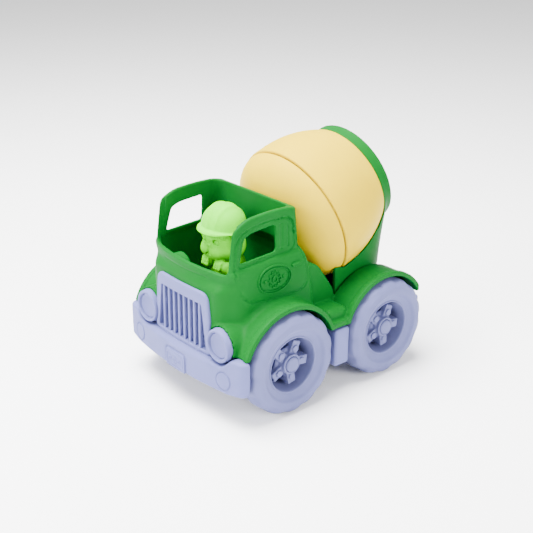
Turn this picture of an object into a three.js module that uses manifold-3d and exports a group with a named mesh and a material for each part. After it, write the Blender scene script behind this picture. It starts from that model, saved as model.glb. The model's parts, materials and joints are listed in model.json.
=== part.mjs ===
// Toy cement mixer lorry: open-top cab with a builder figure, four dished wheels
// and a tipping drum. Millimetres, +Z up, the front faces -Y, +X is the lorry's left.
// The origin is the centre of the footprint on the ground.
import * as THREE from 'three';
import { ConvexGeometry } from 'three/addons/geometries/ConvexGeometry.js';
import { mergeVertices } from 'three/addons/utils/BufferGeometryUtils.js';
import Module from 'manifold-3d';

const wasm = await Module();
wasm.setup();

// ---------------------------------------------------------------- driving dimensions
const GAP = 0.3;

const WHEEL = { radius: 37, frontY: -42, rearY: 50, innerX: 46.5, outerX: 70, rimRadius: 21.2, wall: 3 };
const AXLE = { radius: 3, halfLength: 64, clearance: 0.08 };
const HUB = { radius: 20.9, dishX: 52, bossRadius: 7.3, bossX: 66, armX: 64, armReach: 17.5, armWidth: 6.5 };
const HUB_CAP = { radius: 5.5, thickness: 1.4 };
const ARM_COUNT = 5;
const ARM_START = -7.5;

const CHASSIS = { halfWidth: 42, frontY: -80, rearY: 86, bottomZ: 24, topZ: 50.7, wall: 3 };
const CHASSIS_TAIL = { frontY: 57.5, topZ: 47.7 };
const TANK = { outerX: 62, frontY: 1, rearY: 11.5, bottomZ: 21, topZ: 49 };
const REAR_BUMPER = { halfWidth: 60, frontY: 86, hornY: 88.4, rearY: 92.4, bottomZ: 37, topZ: 49.5 };

const SHELL = { halfWidth: 65.5, bottomZ: 51, deckTopZ: 55.3, floorZ: 57, rearY: 85.5 };
const FENDER = { radius: 42.5, wellRadius: 39.5, innerX: 45.5 };
const CAB = { halfWidth: 49, frontY: -83, rearY: -11, footRearY: -4.5, cowlZ: 104, wall: 3 };
const CAB_TOP = { halfWidth: 42.5, beltHalfWidth: 45.5, beltZ: 104, rearY: -18, z: 141.5 };
const SUNKEN_DECK = { frontY: 60, topZ: 51, bottomZ: 48 };
const FOOTSTEP = { innerX: 44, outerX: 60, y: 2, radius: 11, topZ: 65 };

const FASCIA = { bowRadius: 310, frontY: -93, halfWidth: 67, bottomZ: 23.5, topZ: 43.5, cornerZ: 50.7 };
const GRILLE = { topHalf: 28.8, bottomHalf: 33.2, bottomZ: 44, topZ: 90.2, backY: -82.2, frontY: -88.4 };
const SLOTS = { count: 9, pitch: 5.9, width: 3.7, bottomZ: 48.5, topZ: 80.5, depth: 4.5 };
const LAMP = { x: 43, y: -85, z: 56, radius: 13, lensRadius: 10.4, depth: 7.5 };
const FOG_LAMP = { x: 49.1, z: 33.5, radius: 6.1, thickness: 1.2 };
const PLATE = { halfWidth: 11.2, bottomZ: 25.5, topZ: 38, thickness: 1.2 };

const DRUM = { seamY: 16.8, seamZ: 115, tilt: 20.2, noseLength: 27, seamRadius: 52.2, wall: 2.4 };
const BARREL = { radius: 53, crownAt: 8, length: 51.2, endRadius: 41.8, taper: 2.2 };
const NECK = { radius: 38, length: 56 };
const MOUTH = { length: 62.4, radius: 38, boreRadius: 34.6 };
const COLLAR = { start: 51.6, end: 61.1, frontRadius: 41.6, rearRadius: 40.1, boreRadius: 38.4 };

const STAND = { halfWidth: 42, frontY: 20, centreY: 40, reach: 39, bottomZ: 56, midZ: 76, wall: 3, lean: 0.17 };
const HINGE = { y: 72, z: 62, pinRadius: 2.5, pinHalf: 24, earRadius: 6, lugRadius: 4.6, lugX: 14, earX: 20 };
const HINGE_EAR_WIDTH = 4;

const DRIVER = { y: -46, footZ: 68.5, headZ: 118, headRadius: 14 };
const HELMET = { radius: 15.8, y: -46, brimZ: 121, height: 16.2, brimReach: 4 };
const SEAT = { halfWidth: 20, frontY: -66, rearY: -26, topZ: 68 };

const GREEN = 0x3fae50;
const GREY = 0xb9bedb;
const YELLOW = 0xffe070;
const LIME = 0xa4ef6e;

// ---------------------------------------------------------------- solids and placing
const degrees = THREE.MathUtils.degToRad;
const mirrorPair = [['left', 1], ['right', -1]];

/** Turns a closed geometry into a manifold solid, with its faces pointing out. */
function solid(geometry) {
  const plain = geometry.index ? geometry.toNonIndexed() : geometry.clone();
  plain.deleteAttribute('normal');
  plain.deleteAttribute('uv');
  const merged = mergeVertices(plain, 1e-4);
  const source = merged.index.array;
  const corners = [];
  for (let i = 0; i < source.length; i += 3) {
    const [a, b, c] = [source[i], source[i + 1], source[i + 2]];
    if (a !== b && b !== c && c !== a) corners.push(a, b, c);
  }
  if (enclosedVolume(merged.attributes.position, corners) < 0) corners.reverse();
  const vertProperties = new Float32Array(merged.attributes.position.array);
  const triVerts = new Uint32Array(corners);
  return new wasm.Manifold(new wasm.Mesh({ numProp: 3, vertProperties, triVerts }));
}

/** Signed volume inside a triangle list: negative when the faces point inwards. */
function enclosedVolume(position, corners) {
  const [a, b, c] = [new THREE.Vector3(), new THREE.Vector3(), new THREE.Vector3()];
  let total = 0;
  for (let i = 0; i < corners.length; i += 3) {
    a.fromBufferAttribute(position, corners[i]);
    b.fromBufferAttribute(position, corners[i + 1]);
    c.fromBufferAttribute(position, corners[i + 2]);
    total += a.dot(b.cross(c)) / 6;
  }
  return total;
}

/** Turns a manifold solid back into a three.js geometry. */
function geometryOf(body) {
  const mesh = body.getMesh();
  const geometry = new THREE.BufferGeometry();
  geometry.setAttribute('position', new THREE.BufferAttribute(mesh.vertProperties, 3));
  geometry.setIndex(new THREE.BufferAttribute(mesh.triVerts, 1));
  geometry.computeVertexNormals();
  return geometry;
}

const joined = (...bodies) => bodies.reduce((total, body) => total.add(body));
const without = (body, ...cutters) => cutters.reduce((rest, cutter) => rest.subtract(cutter), body);

/** A shape through [u, v] points, each corner rounded by up to the radius. */
function outline(points, radius = 0) {
  const shape = new THREE.Shape();
  points.forEach((point, i) => {
    const corner = new THREE.Vector2(...point);
    const before = towards(corner, points.at(i - 1), radius);
    const after = towards(corner, points[(i + 1) % points.length], radius);
    if (i === 0) shape.moveTo(before.x, before.y);
    else shape.lineTo(before.x, before.y);
    if (radius > 0) shape.quadraticCurveTo(corner.x, corner.y, after.x, after.y);
  });
  shape.closePath();
  return shape;
}

/** The point a radius away from a corner along an edge, short of the edge's middle. */
function towards(corner, next, radius) {
  const edge = new THREE.Vector2(...next).sub(corner);
  return edge.setLength(Math.min(radius, edge.length() * 0.48)).add(corner);
}

const rectangle = (u0, v0, u1, v1) => [[u0, v0], [u1, v0], [u1, v1], [u0, v1]];

function extruded(shape, depth, curveSegments = 3) {
  return new THREE.ExtrudeGeometry(shape, { depth, bevelEnabled: false, curveSegments });
}

/** A prism along X from a (y, z) shape. */
function prismX(shape, x0, x1) {
  const turn = new THREE.Matrix4().makeBasis(
    new THREE.Vector3(0, 1, 0), new THREE.Vector3(0, 0, 1), new THREE.Vector3(1, 0, 0));
  return solid(extruded(shape, x1 - x0).applyMatrix4(turn).translate(x0, 0, 0));
}

/** A prism along Y from an (x, z) shape. */
function prismY(shape, y0, y1) {
  return solid(extruded(shape, y1 - y0).rotateX(Math.PI / 2).translate(0, y1, 0));
}

/** A prism along Z from an (x, y) shape. */
const prismZ = (shape, z0, z1) => solid(extruded(shape, z1 - z0).translate(0, 0, z0));

function box([x0, y0, z0], [x1, y1, z1]) {
  const geometry = new THREE.BoxGeometry(x1 - x0, y1 - y0, z1 - z0);
  return solid(geometry.translate((x0 + x1) / 2, (y0 + y1) / 2, (z0 + z1) / 2));
}

/** A cylinder along X about (y, z). */
function cylinderX(radius, x0, x1, y, z, sides = 24) {
  const geometry = new THREE.CylinderGeometry(radius, radius, x1 - x0, sides).rotateZ(Math.PI / 2);
  return solid(geometry.translate((x0 + x1) / 2, y, z));
}

/** A cylinder along Y about (x, z). */
function cylinderY(radius, y0, y1, x, z, sides = 24) {
  const geometry = new THREE.CylinderGeometry(radius, radius, y1 - y0, sides);
  return solid(geometry.translate(x, (y0 + y1) / 2, z));
}

/** A turned solid about Z from [radius, height] points; it closes on itself or on the axis. */
function turned(profile, segments) {
  const points = profile.map(([radius, height]) => new THREE.Vector2(radius, height));
  if (profile[0][0] > 0) points.push(points[0].clone());
  return new THREE.LatheGeometry(points, segments).rotateX(Math.PI / 2);
}

const hull = (points) => solid(new ConvexGeometry(points.map((point) => new THREE.Vector3(...point))));

/** An ellipsoid with the given half axes. */
function ellipsoid([rx, ry, rz], [x, y, z], segments = 12) {
  const sphere = new THREE.SphereGeometry(1, segments, segments / 2).rotateX(Math.PI / 2);
  return solid(sphere.scale(rx, ry, rz).translate(x, y, z));
}

/** The corners of a rounded rectangle at one height, for a hull. */
function roundedRing({ half, front, rear, radius, z }) {
  const points = [];
  for (const [cx, cy, start] of [[half, rear, 0], [-half, rear, 90], [-half, front, 180], [half, front, 270]]) {
    for (const step of [0, 30, 60, 90]) {
      const angle = degrees(start + step);
      const x = cx - Math.sign(cx) * radius + radius * Math.cos(angle);
      const y = (cy === rear ? cy - radius : cy + radius) + radius * Math.sin(angle);
      points.push([x, y, z]);
    }
  }
  return points;
}

// ---------------------------------------------------------------- materials and scene graph
function plastic(color, roughness) {
  return new THREE.MeshStandardMaterial({ color, roughness, metalness: 0 });
}

const materials = {
  green: () => plastic(GREEN, 0.5),
  grey: () => plastic(GREY, 0.5),
  yellow: () => plastic(YELLOW, 0.42),
  lime: () => plastic(LIME, 0.5),
};

function named(name, geometry, material) {
  const mesh = new THREE.Mesh(geometry, materials[material]());
  mesh.name = name;
  return mesh;
}

const part = (name, body, material) => named(name, geometryOf(body), material);

// ---------------------------------------------------------------- wheels
const wheelWidth = WHEEL.outerX - WHEEL.innerX;

/** Tyre section turned about Z, hollow from the inner face, with its outer face at the top. */
function tyreGeometry() {
  const { radius, rimRadius, wall } = WHEEL;
  return turned([
    [radius - wall, 0], [radius - 1, 0], [radius, 4], [radius, 15.5], [radius - 1.4, 19],
    [radius - 4.6, 22], [radius - 8, wheelWidth], [radius - 13, wheelWidth], [rimRadius, wheelWidth - 1.6],
    [rimRadius, 4], [rimRadius + wall, 4], [rimRadius + wall, wheelWidth - 6],
    [radius - wall - 4, wheelWidth - 6], [radius - wall, wheelWidth - 9],
  ], 28);
}

/** One arm of the hub, standing in the dish, at the given turn about the axle. */
function hubArm(turn) {
  const [inner, outer] = [HUB.dishX - WHEEL.innerX - 1, HUB.armX - WHEEL.innerX];
  const shape = outline([[4, inner], [HUB.armReach, inner], [HUB.armReach - 2, outer], [4, outer]]);
  const arm = extruded(shape, HUB.armWidth).translate(0, 0, -HUB.armWidth / 2);
  return solid(arm.rotateX(Math.PI / 2).rotateZ(degrees(turn)));
}

function hubGeometry() {
  const dish = HUB.dishX - WHEEL.innerX;
  const bossTop = HUB.bossX - WHEEL.innerX;
  const bowl = solid(turned([
    [0, dish - 3], [HUB.radius - 2, dish - 3], [HUB.radius, dish], [HUB.radius, wheelWidth - 1.6],
    [HUB.radius - 1.5, wheelWidth - 1.6], [HUB.radius - 3, dish + 2], [HUB.radius - 5, dish],
    [HUB.bossRadius, dish], [HUB.bossRadius, bossTop], [0, bossTop],
  ], 24));
  const arms = Array.from({ length: ARM_COUNT }, (_, i) => hubArm(ARM_START + 72 * i));
  const bore = new THREE.CylinderGeometry(AXLE.radius + 0.05, AXLE.radius + 0.05, 80, 24);
  const boreDepth = AXLE.halfLength - WHEEL.innerX + GAP;
  const cutter = solid(bore.rotateX(Math.PI / 2).translate(0, 0, boreDepth - 40));
  return geometryOf(without(joined(bowl, ...arms), cutter));
}

function capGeometry() {
  const { radius, thickness } = HUB_CAP;
  return turned([[0, 0], [radius, 0], [radius, thickness - 0.4], [radius - 0.5, thickness], [0, thickness]], 24);
}

/** Tyre, hub and cap of one corner, in a group that stands on the wheel's inner face. */
function wheel(corner, side, y) {
  const group = new THREE.Group();
  const cap = named(`hub_cap_${corner}`, capGeometry(), 'grey');
  cap.position.z = HUB.bossX - WHEEL.innerX + GAP / 2;
  group.add(named(`tyre_${corner}`, tyreGeometry(), 'grey'), named(`hub_${corner}`, hubGeometry(), 'grey'), cap);
  group.rotation.y = side * Math.PI / 2;
  group.position.set(side * WHEEL.innerX, y, WHEEL.radius);
  return group;
}

function axleSet(name, y) {
  const group = new THREE.Group();
  const rod = cylinderX(AXLE.radius, -AXLE.halfLength, AXLE.halfLength, y, WHEEL.radius);
  group.add(part(`${name}_axle`, rod, 'grey'));
  for (const [label, side] of mirrorPair) group.add(wheel(`${name}_${label}`, side, y));
  return group;
}

// ---------------------------------------------------------------- chassis
function chassisFrame() {
  const { halfWidth, frontY, rearY, bottomZ, topZ, wall } = CHASSIS;
  const tub = joined(
    box([-halfWidth, frontY, bottomZ], [halfWidth, CHASSIS_TAIL.frontY, topZ]),
    box([-halfWidth, CHASSIS_TAIL.frontY - 1, bottomZ], [halfWidth, rearY, CHASSIS_TAIL.topZ]));
  const tankShape = outline(rectangle(-TANK.outerX, TANK.frontY, TANK.outerX, TANK.rearY), 3);
  const tanks = prismZ(tankShape, TANK.bottomZ, TANK.topZ);
  const bumperShape = outline([
    [-REAR_BUMPER.halfWidth, REAR_BUMPER.hornY], [-44, REAR_BUMPER.hornY], [-41, REAR_BUMPER.frontY - 1],
    [41, REAR_BUMPER.frontY - 1], [44, REAR_BUMPER.hornY], [REAR_BUMPER.halfWidth, REAR_BUMPER.hornY],
    [REAR_BUMPER.halfWidth, REAR_BUMPER.rearY - 1.5], [40, REAR_BUMPER.rearY],
    [-40, REAR_BUMPER.rearY], [-REAR_BUMPER.halfWidth, REAR_BUMPER.rearY - 1.5],
  ], 1.5);
  const bumper = prismZ(bumperShape, REAR_BUMPER.bottomZ, REAR_BUMPER.topZ);
  const hollow = without(
    box([wall - halfWidth, frontY + wall, bottomZ - 5], [halfWidth - wall, rearY - wall, CHASSIS_TAIL.topZ - wall]),
    ...[WHEEL.frontY, WHEEL.rearY].map((y) => box([-halfWidth, y - 6, 0], [halfWidth, y + 6, topZ])));
  const tankHollow = box([-TANK.outerX + 3, TANK.frontY + 3, 0], [TANK.outerX - 3, TANK.rearY - 3, TANK.topZ - 3]);
  const bores = [WHEEL.frontY, WHEEL.rearY].map(
    (y) => cylinderX(AXLE.radius + AXLE.clearance, -80, 80, y, WHEEL.radius, 32));
  return part('chassis_frame', without(joined(tub, tanks, bumper), hollow, tankHollow, ...bores), 'grey');
}

/** The bumper's bowed front face: y at a distance x from the middle. */
const bumperY = (x) => FASCIA.frontY + x * x / (2 * FASCIA.bowRadius);

/** A plan outline between the bowed front, set back by inset, and a straight back. */
function bowedPlan(halfWidth, inset, backY) {
  const steps = 12;
  const points = [[halfWidth, backY], [-halfWidth, backY]];
  for (let i = 0; i <= steps; i += 1) {
    const x = halfWidth * (2 * i / steps - 1);
    const corner = Math.max(0, Math.abs(x) - 56) * 0.35;
    points.push([x, bumperY(x) + inset + corner]);
  }
  return outline(points);
}

function frontBumper() {
  const { halfWidth, bottomZ, topZ, cornerZ } = FASCIA;
  const low = outline([
    [-halfWidth + 5, bottomZ + 2], [-40, bottomZ], [40, bottomZ], [halfWidth - 5, bottomZ + 2],
    [halfWidth, cornerZ], [halfWidth - 7, cornerZ - 1], [halfWidth - 17, topZ - 1],
    [-halfWidth + 17, topZ - 1], [-halfWidth + 7, cornerZ - 1], [-halfWidth, cornerZ],
  ]);
  const bar = prismZ(bowedPlan(halfWidth, 0, -80.5), 20, 56).intersect(prismY(low, -100, -70));
  const wells = mirrorPair.map(([, side]) => {
    const [x0, x1] = [side * 42.2, side * 75].sort((a, b) => a - b);
    return cylinderX(FENDER.wellRadius, x0, x1, WHEEL.frontY, WHEEL.radius, 40);
  });
  const hollow = prismZ(bowedPlan(halfWidth - 12, 4, -79), bottomZ - 5, topZ - 4);
  return part('front_bumper', without(bar, hollow, ...wells, lampSeats(GAP)), 'grey');
}

function numberPlate() {
  const { halfWidth, bottomZ, topZ, thickness } = PLATE;
  const face = prismY(outline(rectangle(-halfWidth, bottomZ, halfWidth, topZ), 2), -100, -80);
  const skin = prismZ(bowedPlan(30, -thickness - GAP, -92), 20, 60).subtract(prismZ(bowedPlan(31, -GAP, -80), 19, 61));
  return part('number_plate', face.intersect(skin), 'grey');
}

function fogLamp(label, side) {
  const { x, z, radius, thickness } = FOG_LAMP;
  const turn = Math.atan(x / FASCIA.bowRadius) * side;
  const disc = turned([[0, 0], [radius, 0], [radius, thickness - 0.4], [radius - 0.6, thickness],
    [radius - 1.4, thickness - 0.5], [0, thickness - 0.5]], 24);
  disc.rotateX(Math.PI / 2).rotateZ(turn).translate(side * x, bumperY(x) - GAP, z);
  return named(`fog_lamp_${label}`, disc, 'grey');
}

// ---------------------------------------------------------------- grille and lamps
function grille() {
  const { topHalf, bottomHalf, bottomZ, topZ, backY, frontY } = GRILLE;
  const face = outline([[-bottomHalf, bottomZ], [bottomHalf, bottomZ], [topHalf, topZ], [-topHalf, topZ]], 4);
  const lean = outline([[frontY, bottomZ - 2], [backY - 1, bottomZ - 2], [backY, topZ + 2], [frontY + 2.9, topZ + 2]]);
  const panel = prismY(face, -100, -70).intersect(prismX(lean, -40, 40));
  const slots = Array.from({ length: SLOTS.count }, (_, i) => slot(i - (SLOTS.count - 1) / 2));
  return part('grille', without(panel, lampSeats(GAP), ...slots), 'grey');
}

/** One slot of the grille; the outermost ones lean with the frame. */
function slot(place) {
  const x = place * SLOTS.pitch;
  const isOuter = Math.abs(place) === (SLOTS.count - 1) / 2;
  const out = Math.sign(place) * (isOuter ? 1 : 0);
  const half = SLOTS.width / 2;
  const shape = outline([
    [x - half + Math.min(0, out), SLOTS.bottomZ], [x + half + Math.max(0, out), SLOTS.bottomZ],
    [x + (out > 0 ? 0.4 - half : half), SLOTS.topZ], [x - (out < 0 ? 0.4 - half : half), SLOTS.topZ],
  ]);
  const lean = outline([
    [GRILLE.frontY - 1, 40], [GRILLE.frontY + SLOTS.depth - 0.2, 40],
    [GRILLE.frontY + SLOTS.depth + 1.6, 95], [GRILLE.frontY - 1, 95],
  ]);
  return prismY(shape, -100, -70).intersect(prismX(lean, -40, 40));
}

/** The round seats that the headlamps fill, grown by a clearance. */
function lampSeats(clearance) {
  const seats = mirrorPair.map(([, side]) => cylinderY(
    LAMP.radius + clearance, LAMP.y - LAMP.depth - 5, LAMP.y + clearance, side * LAMP.x, LAMP.z, 32));
  return joined(...seats);
}

/** Headlamp bowl with a shallow recess for its lens. */
function headlamp(label, side) {
  const { x, y, z, radius, lensRadius, depth } = LAMP;
  const bowl = turned([
    [0, 0], [radius, 0], [radius, depth - 2.2], [radius - 1.2, depth - 0.6], [lensRadius + 0.6, depth],
    [lensRadius + GAP, depth - 0.4], [lensRadius + GAP, depth - 2], [0, depth - 2],
  ], 24);
  const lens = turned([
    [0, depth - 1.7], [lensRadius, depth - 1.7], [lensRadius, depth - 0.2],
    [lensRadius - 1.2, depth - 0.6], [0, depth - 0.8],
  ], 24);
  const group = new THREE.Group();
  group.add(named(`headlamp_${label}`, bowl, 'grey'), named(`headlamp_lens_${label}`, lens, 'grey'));
  group.rotation.x = Math.PI / 2;
  group.position.set(side * x, y, z);
  return group;
}

// ---------------------------------------------------------------- body shell
/** Half width of the window band at a height: it leans in towards the top. */
function bandHalfWidth(z) {
  const { halfWidth, beltHalfWidth, beltZ } = CAB_TOP;
  return beltHalfWidth - (beltHalfWidth - halfWidth) * (z - beltZ) / (139 - beltZ);
}

/** The closed block of the window band, its [y, z] outline shrunk and thinned by a wall. */
function windowBand(points, wall) {
  const corners = points.flatMap(([y, z]) => [1, -1].map((side) => [side * (bandHalfWidth(z) - wall), y, z]));
  return hull(corners);
}

function cabOuter() {
  const { halfWidth, frontY, rearY, footRearY, cowlZ } = CAB;
  const lower = hull([
    ...roundedRing({ half: halfWidth, front: frontY, rear: footRearY, radius: 16, z: SHELL.bottomZ }),
    ...roundedRing({ half: halfWidth, front: frontY + 1, rear: rearY + 1, radius: 15, z: 90 }),
    ...roundedRing({ half: halfWidth - 1, front: frontY + 2.5, rear: rearY, radius: 14, z: 97 }),
    ...roundedRing({ half: halfWidth - 3, front: frontY + 6, rear: rearY - 1, radius: 12, z: cowlZ }),
  ]);
  const upper = windowBand([
    [-76.5, 100], [-73.5, 131], [-70, 136.5], [-62, 139.5], [-45, CAB_TOP.z],
    [-32, CAB_TOP.z - 0.5], [CAB_TOP.rearY, 138.5], [-12, 100],
  ], 0);
  return joined(lower, upper);
}

function cabInner() {
  const { frontY, rearY, footRearY, wall, cowlZ } = CAB;
  const low = hull([
    ...roundedRing({ half: 40.5, front: -74, rear: footRearY - wall - 1, radius: 8, z: SHELL.floorZ }),
    ...roundedRing({ half: 40.5, front: -74, rear: rearY - wall, radius: 8, z: 83 }),
  ]);
  const high = hull([
    ...roundedRing({ half: 42, front: -76, rear: rearY - wall - 0.5, radius: 10, z: 82 }),
    ...roundedRing({ half: 42, front: -74, rear: rearY - wall - 1, radius: 10, z: cowlZ + 0.5 }),
  ]);
  const band = windowBand([
    [frontY - 8, cowlZ], [frontY - 8, 150], [CAB_TOP.rearY - wall, 150], [CAB_TOP.rearY - wall - 0.2, 138],
    [rearY - wall - 2, cowlZ],
  ], wall);
  return joined(low, high, band);
}

function sideWindows() {
  const opening = outline([[-69.5, 110.5], [-36, 112.5], [-36.5, 131.5], [-64.5, 129]], 5);
  return prismX(opening, -60, 60);
}

/** Mudguards: half discs over an axle, cut at the shell's lower edge. */
function mudguards(y) {
  const disc = cylinderX(FENDER.radius, -SHELL.halfWidth, SHELL.halfWidth, y, WHEEL.radius, 40);
  return disc.intersect(box([-80, y - 60, SHELL.bottomZ], [80, Math.min(y + 60, SHELL.rearY), 100]));
}

function wheelWells() {
  const wells = [];
  for (const y of [WHEEL.frontY, WHEEL.rearY]) {
    for (const [, side] of mirrorPair) {
      const [x0, x1] = [side * FENDER.innerX, side * 80].sort((a, b) => a - b);
      wells.push(cylinderX(FENDER.wellRadius, x0, x1, y, WHEEL.radius, 40));
    }
  }
  return joined(...wells);
}

function deck() {
  const { bottomZ, deckTopZ, halfWidth, rearY } = SHELL;
  const plank = box([-halfWidth, -20, bottomZ], [halfWidth, 12, deckTopZ - 0.5]);
  const bed = joined(
    box([-FENDER.innerX, -20, bottomZ], [FENDER.innerX, rearY - 1, deckTopZ]),
    box([-FENDER.innerX, SUNKEN_DECK.frontY - 2, SUNKEN_DECK.bottomZ], [FENDER.innerX, rearY - 1, deckTopZ]));
  const sunk = box([2 - FENDER.innerX, SUNKEN_DECK.frontY, SUNKEN_DECK.topZ], [FENDER.innerX - 2, 100, 100]);
  return { solid: joined(plank, bed), sunk };
}

/** The block behind the cab that the drum's nose hangs over, or its inside when shrunk by a wall. */
function noseBlock(wall) {
  const bottom = wall > 0 ? SHELL.bottomZ - 1 : SHELL.bottomZ;
  const side = outline([
    [-16 + wall, bottom], [18 - wall, bottom], [18 - wall, 61 - wall / 2], [16.5 - wall, 70 - wall / 2],
    [1 - wall / 2, 92 - wall], [-5, 95 - wall], [-16 + wall, 95 - wall],
  ]);
  return prismX(side, wall - 44, 44 - wall);
}

/** Hollows open from below, so that the moulding keeps a wall all over. */
function shellHollows() {
  const block = noseBlock(CAB.wall).subtract(drumEnvelope(1.2 + CAB.wall));
  const underFloor = box([-40, -76, SHELL.bottomZ - 1], [40, -16, SHELL.floorZ - CAB.wall]);
  return joined(block, underFloor);
}

function footsteps() {
  const { innerX, outerX, y, radius, topZ } = FOOTSTEP;
  const shape = outline(rectangle(y - radius, SHELL.bottomZ, y + radius, topZ), radius * 0.6);
  const bar = prismX(shape, -outerX, outerX);
  return bar.subtract(box([-innerX, -30, 40], [innerX, 30, 80]));
}

function bodyShell() {
  const bed = deck();
  const rearGuards = mudguards(WHEEL.rearY);
  const between = box([2.5 - FENDER.innerX, 12, SHELL.deckTopZ], [FENDER.innerX - 2.5, 100, 100]);
  const rear = joined(bed.solid, without(rearGuards, between));
  const whole = joined(cabOuter(), mudguards(WHEEL.frontY), rear, footsteps(), noseBlock(0));
  const seats = lampSeats(GAP);
  const solidFloor = without(whole, cabInner(), sideWindows(), wheelWells(), bed.sunk, seats, drumEnvelope(1.2));
  const cut = solidFloor.subtract(shellHollows());
  return part('body_shell', cut, 'green');
}

// ---------------------------------------------------------------- cab trim
function doorBadge(label, side) {
  const ring = new THREE.Shape().absellipse(-43, 95, 14.5, 9.5, 0, Math.PI * 2);
  const hole = new THREE.Path().absellipse(-43, 95, 12.8, 7.8, 0, Math.PI * 2);
  ring.holes.push(hole);
  const x = CAB.halfWidth + GAP;
  const [x0, x1] = [side * x, side * (x + 0.8)].sort((a, b) => a - b);
  const band = solid(turnToX(extruded(ring, x1 - x0, 8), x0));
  return part(`door_badge_${label}`, band, 'green');
}

function turnToX(geometry, x0) {
  return geometry.rotateX(Math.PI / 2).rotateZ(Math.PI / 2).translate(x0, 0, 0);
}

function doorHandle(label, side) {
  const x = CAB.halfWidth + GAP;
  const [x0, x1] = [side * x, side * (x + 1.6)].sort((a, b) => a - b);
  return part(`door_handle_${label}`, prismX(outline(rectangle(-28, 99.5, -20, 102), 0.8), x0, x1), 'green');
}

function seatBlock() {
  const { halfWidth, frontY, rearY, topZ } = SEAT;
  const block = prismZ(outline(rectangle(-halfWidth, frontY, halfWidth, rearY), 4), SHELL.floorZ + GAP, topZ);
  return part('seat_block', block, 'green');
}

function dashHump() {
  const shape = outline([[-28, 90], [-28, 98], [-19, 102], [-10, 98], [-10, 90]], 3);
  return part('dash_hump', prismY(shape, -73, -70.5), 'green');
}

// ---------------------------------------------------------------- drum and stand
/** Places something modelled about Z on the drum's tilted axis, with the seam at zero. */
function onDrumAxis(geometry) {
  geometry.rotateX(degrees(DRUM.tilt - 90));
  return geometry.translate(0, DRUM.seamY, DRUM.seamZ);
}

const noseRadius = (length, grow) => (DRUM.seamRadius + grow)
  * Math.sqrt(Math.max(0, 1 - (length / (DRUM.noseLength + grow)) ** 2));

function barrelRadius(length) {
  const past = Math.max(0, length - BARREL.crownAt) / (BARREL.length - BARREL.crownAt);
  return BARREL.radius - (BARREL.radius - BARREL.endRadius) * past ** BARREL.taper;
}

/** Nose profile from the axis to the seam: a quarter ellipse in equal angles. */
function noseProfile(grow, steps = 6) {
  return Array.from({ length: steps + 1 }, (_, i) => {
    const length = -(DRUM.noseLength + grow) * Math.cos(Math.PI / 2 * i / steps);
    return [noseRadius(length, grow), length];
  });
}

function barrelProfile(grow, steps = 6) {
  return Array.from({ length: steps + 1 }, (_, i) => {
    const length = BARREL.length * i / steps;
    return [barrelRadius(length) + grow, length];
  });
}

function drumFrontShell() {
  const outer = noseProfile(0);
  const inner = noseProfile(-DRUM.wall).reverse();
  return named('drum_front_shell', onDrumAxis(turned([...outer, ...inner], 40)), 'yellow');
}

function drumRearShell() {
  const outer = barrelProfile(0).map(([radius, length]) => [radius, length + (length === 0 ? GAP : 0)]);
  const inner = barrelProfile(-DRUM.wall).map(([radius, length]) => [radius, length === 0 ? GAP : length - 2]);
  const neck = [[NECK.radius, BARREL.length], [NECK.radius, NECK.length], [NECK.radius - DRUM.wall, NECK.length]];
  return named('drum_rear_shell', onDrumAxis(turned([...outer, ...neck, ...inner.reverse()], 40)), 'yellow');
}

function drumMouth() {
  const { length, radius, boreRadius } = MOUTH;
  const start = NECK.length + GAP;
  const profile = [[boreRadius, start], [radius, start], [radius, length - 1.5], [radius - 1.2, length], [boreRadius, length]];
  return named('drum_mouth', onDrumAxis(turned(profile, 40)), 'yellow');
}

/** The space that the whole drum turns in, grown by a clearance. */
function drumEnvelope(clearance) {
  const profile = [
    ...noseProfile(clearance).slice(0, -1), ...barrelProfile(clearance),
    [BARREL.endRadius + clearance, BARREL.length + GAP],
    [COLLAR.boreRadius, BARREL.length + GAP], [COLLAR.boreRadius, 80], [0, 80],
  ];
  return solid(onDrumAxis(turned(profile, 40)));
}

/** The stand's footprint at a height: flat sides, then a squarish round at the back. */
function standRing(z, inset) {
  const { halfWidth, frontY, centreY, reach, midZ, lean } = STAND;
  const shift = lean * (z - midZ);
  const points = [[halfWidth - inset, frontY, z], [inset - halfWidth, frontY, z]];
  const steps = 16;
  for (let i = 0; i <= steps; i += 1) {
    const angle = Math.PI * i / steps;
    const x = Math.sign(Math.cos(angle)) * Math.abs(Math.cos(angle)) ** (2 / 3) * (halfWidth - inset);
    const y = centreY + shift + Math.abs(Math.sin(angle)) ** (2 / 3) * (reach - inset);
    points.push([x, y, z]);
  }
  return points;
}

/** Points of a circle about the drum's axis. */
function axisCircle(length, radius) {
  const tilt = degrees(DRUM.tilt);
  return Array.from({ length: 32 }, (_, i) => {
    const angle = Math.PI * 2 * i / 32;
    const rise = radius * Math.sin(angle);
    const y = DRUM.seamY + length * Math.cos(tilt) - rise * Math.sin(tilt);
    const z = DRUM.seamZ + length * Math.sin(tilt) + rise * Math.cos(tilt);
    return [radius * Math.cos(angle), y, z];
  });
}

function collar() {
  const { start, end, frontRadius, rearRadius, boreRadius } = COLLAR;
  const profile = [[boreRadius, start], [frontRadius, start], [rearRadius, end], [boreRadius, end]];
  return solid(onDrumAxis(turned(profile, 40)));
}

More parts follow.
